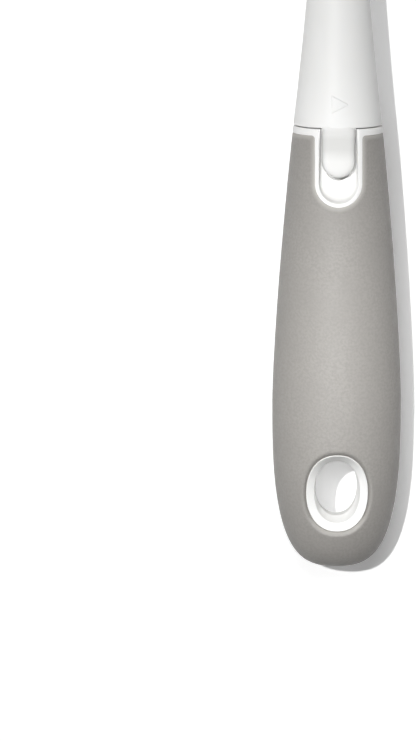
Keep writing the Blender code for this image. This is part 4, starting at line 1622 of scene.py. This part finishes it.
def bend_strands(recipe, strands, full):
    """Push each point aside by a slow noise, more towards the tips."""
    r = recipe
    place = r.node("GeometryNodeInputPosition")
    x, _, z = r.node("ShaderNodeSeparateXYZ", {"Vector": place.outputs[0]}).outputs
    out = r.over(r.sum("SQRT", r.add(r.times(x, x), r.times(z, z))), full)
    noise = r.node("ShaderNodeTexNoise", {"Vector": place.outputs[0], "Scale": BEND_CELLS, "Detail": 1.0})
    even = {0: noise.outputs["Color"], 1: (0.5, 0.5, 0.5)}
    push = r.node("ShaderNodeVectorMath", even, operation="SUBTRACT")
    amount = r.times(r.sum("POWER", out, 2.0), STRAND_BEND)
    scaled = r.node("ShaderNodeVectorMath", {0: push.outputs[0], "Scale": amount}, operation="SCALE")
    return r.node("GeometryNodeSetPosition", {"Geometry": strands, "Offset": scaled.outputs[0]}).outputs[0]


print("strands on each side of the wire:", STRAND_COUNT // 2)


# %% The bristles
def make_bristles():
    r = Recipe("bristles")
    twist = add_twist_sizes(r)
    start = r.size("Head start", HEAD_START_Y)
    length = r.size("Head length", HEAD_LENGTH)
    full = r.size("Head radius", HEAD_RADIUS)
    thickness = r.size("Strand radius", STRAND_RADIUS)
    count = r.size("Strands", STRAND_COUNT, "NodeSocketInt")
    seed = r.size("Seed", BRISTLE_SEED, "NodeSocketInt")
    points = strand_points(r, count, start, length, seed)
    place = r.node("GeometryNodeInputPosition")
    y = r.node("ShaderNodeSeparateXYZ", {"Vector": place.outputs[0]}).outputs["Y"]
    share = r.over(r.less(y, start), length)
    reach, dome = head_reach(r, share, full)

    number = r.node("GeometryNodeInputIndex").outputs[0]
    side = r.times(r.sum("MODULO", number, 2.0), math.pi)
    wide_fan = random_between(r, -STRAND_FAN, STRAND_FAN, seed, 1)
    fan = r.add(wide_fan, random_between(r, -STRAND_FAN / 2, STRAND_FAN / 2, seed, 2))
    angle = r.add(r.add(r.add(twist_at(r, y, *twist), math.pi / 2), side), fan)
    long = r.times(reach, random_between(r, 1 - LENGTH_SPREAD, 1, seed, 3))
    own_lean = random_between(r, -STRAND_LEAN, STRAND_LEAN, seed, 4)
    lean = r.add(own_lean, r.times(r.sum("POWER", dome, 2.0), TIP_LEAN))
    tip = r.vector(r.times(long, r.sum("COSINE", angle)), lean, r.times(long, r.sum("SINE", angle)))
    way = r.node("FunctionNodeAlignRotationToVector", {"Vector": tip}, axis="Z")
    stretch = r.node("ShaderNodeVectorMath", {0: tip}, operation="LENGTH").outputs["Value"]
    strand = r.node("GeometryNodeCurvePrimitiveLine", {"Start": (0, 0, 0), "End": (0, 0, 1)})
    cut = r.node("GeometryNodeResampleCurve", {"Curve": strand.outputs[0], "Count": STRAND_POINTS})
    planted = r.node("GeometryNodeInstanceOnPoints", {
        "Points": points, "Instance": cut.outputs[0], "Rotation": way.outputs[0],
        "Scale": r.vector(1.0, 1.0, stretch)})
    real = r.node("GeometryNodeRealizeInstances", {"Geometry": planted.outputs[0]})
    bent = bend_strands(r, real.outputs[0], full)
    return r.bake("nylon_bristles", r.tube(bent, STRAND_SIDES, thickness), nylon)


bristles = make_bristles()
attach(bristles, "brush_head")
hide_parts(*[f"bristles_{i:02d}" for i in range(1, 15)])

# %% [markdown]
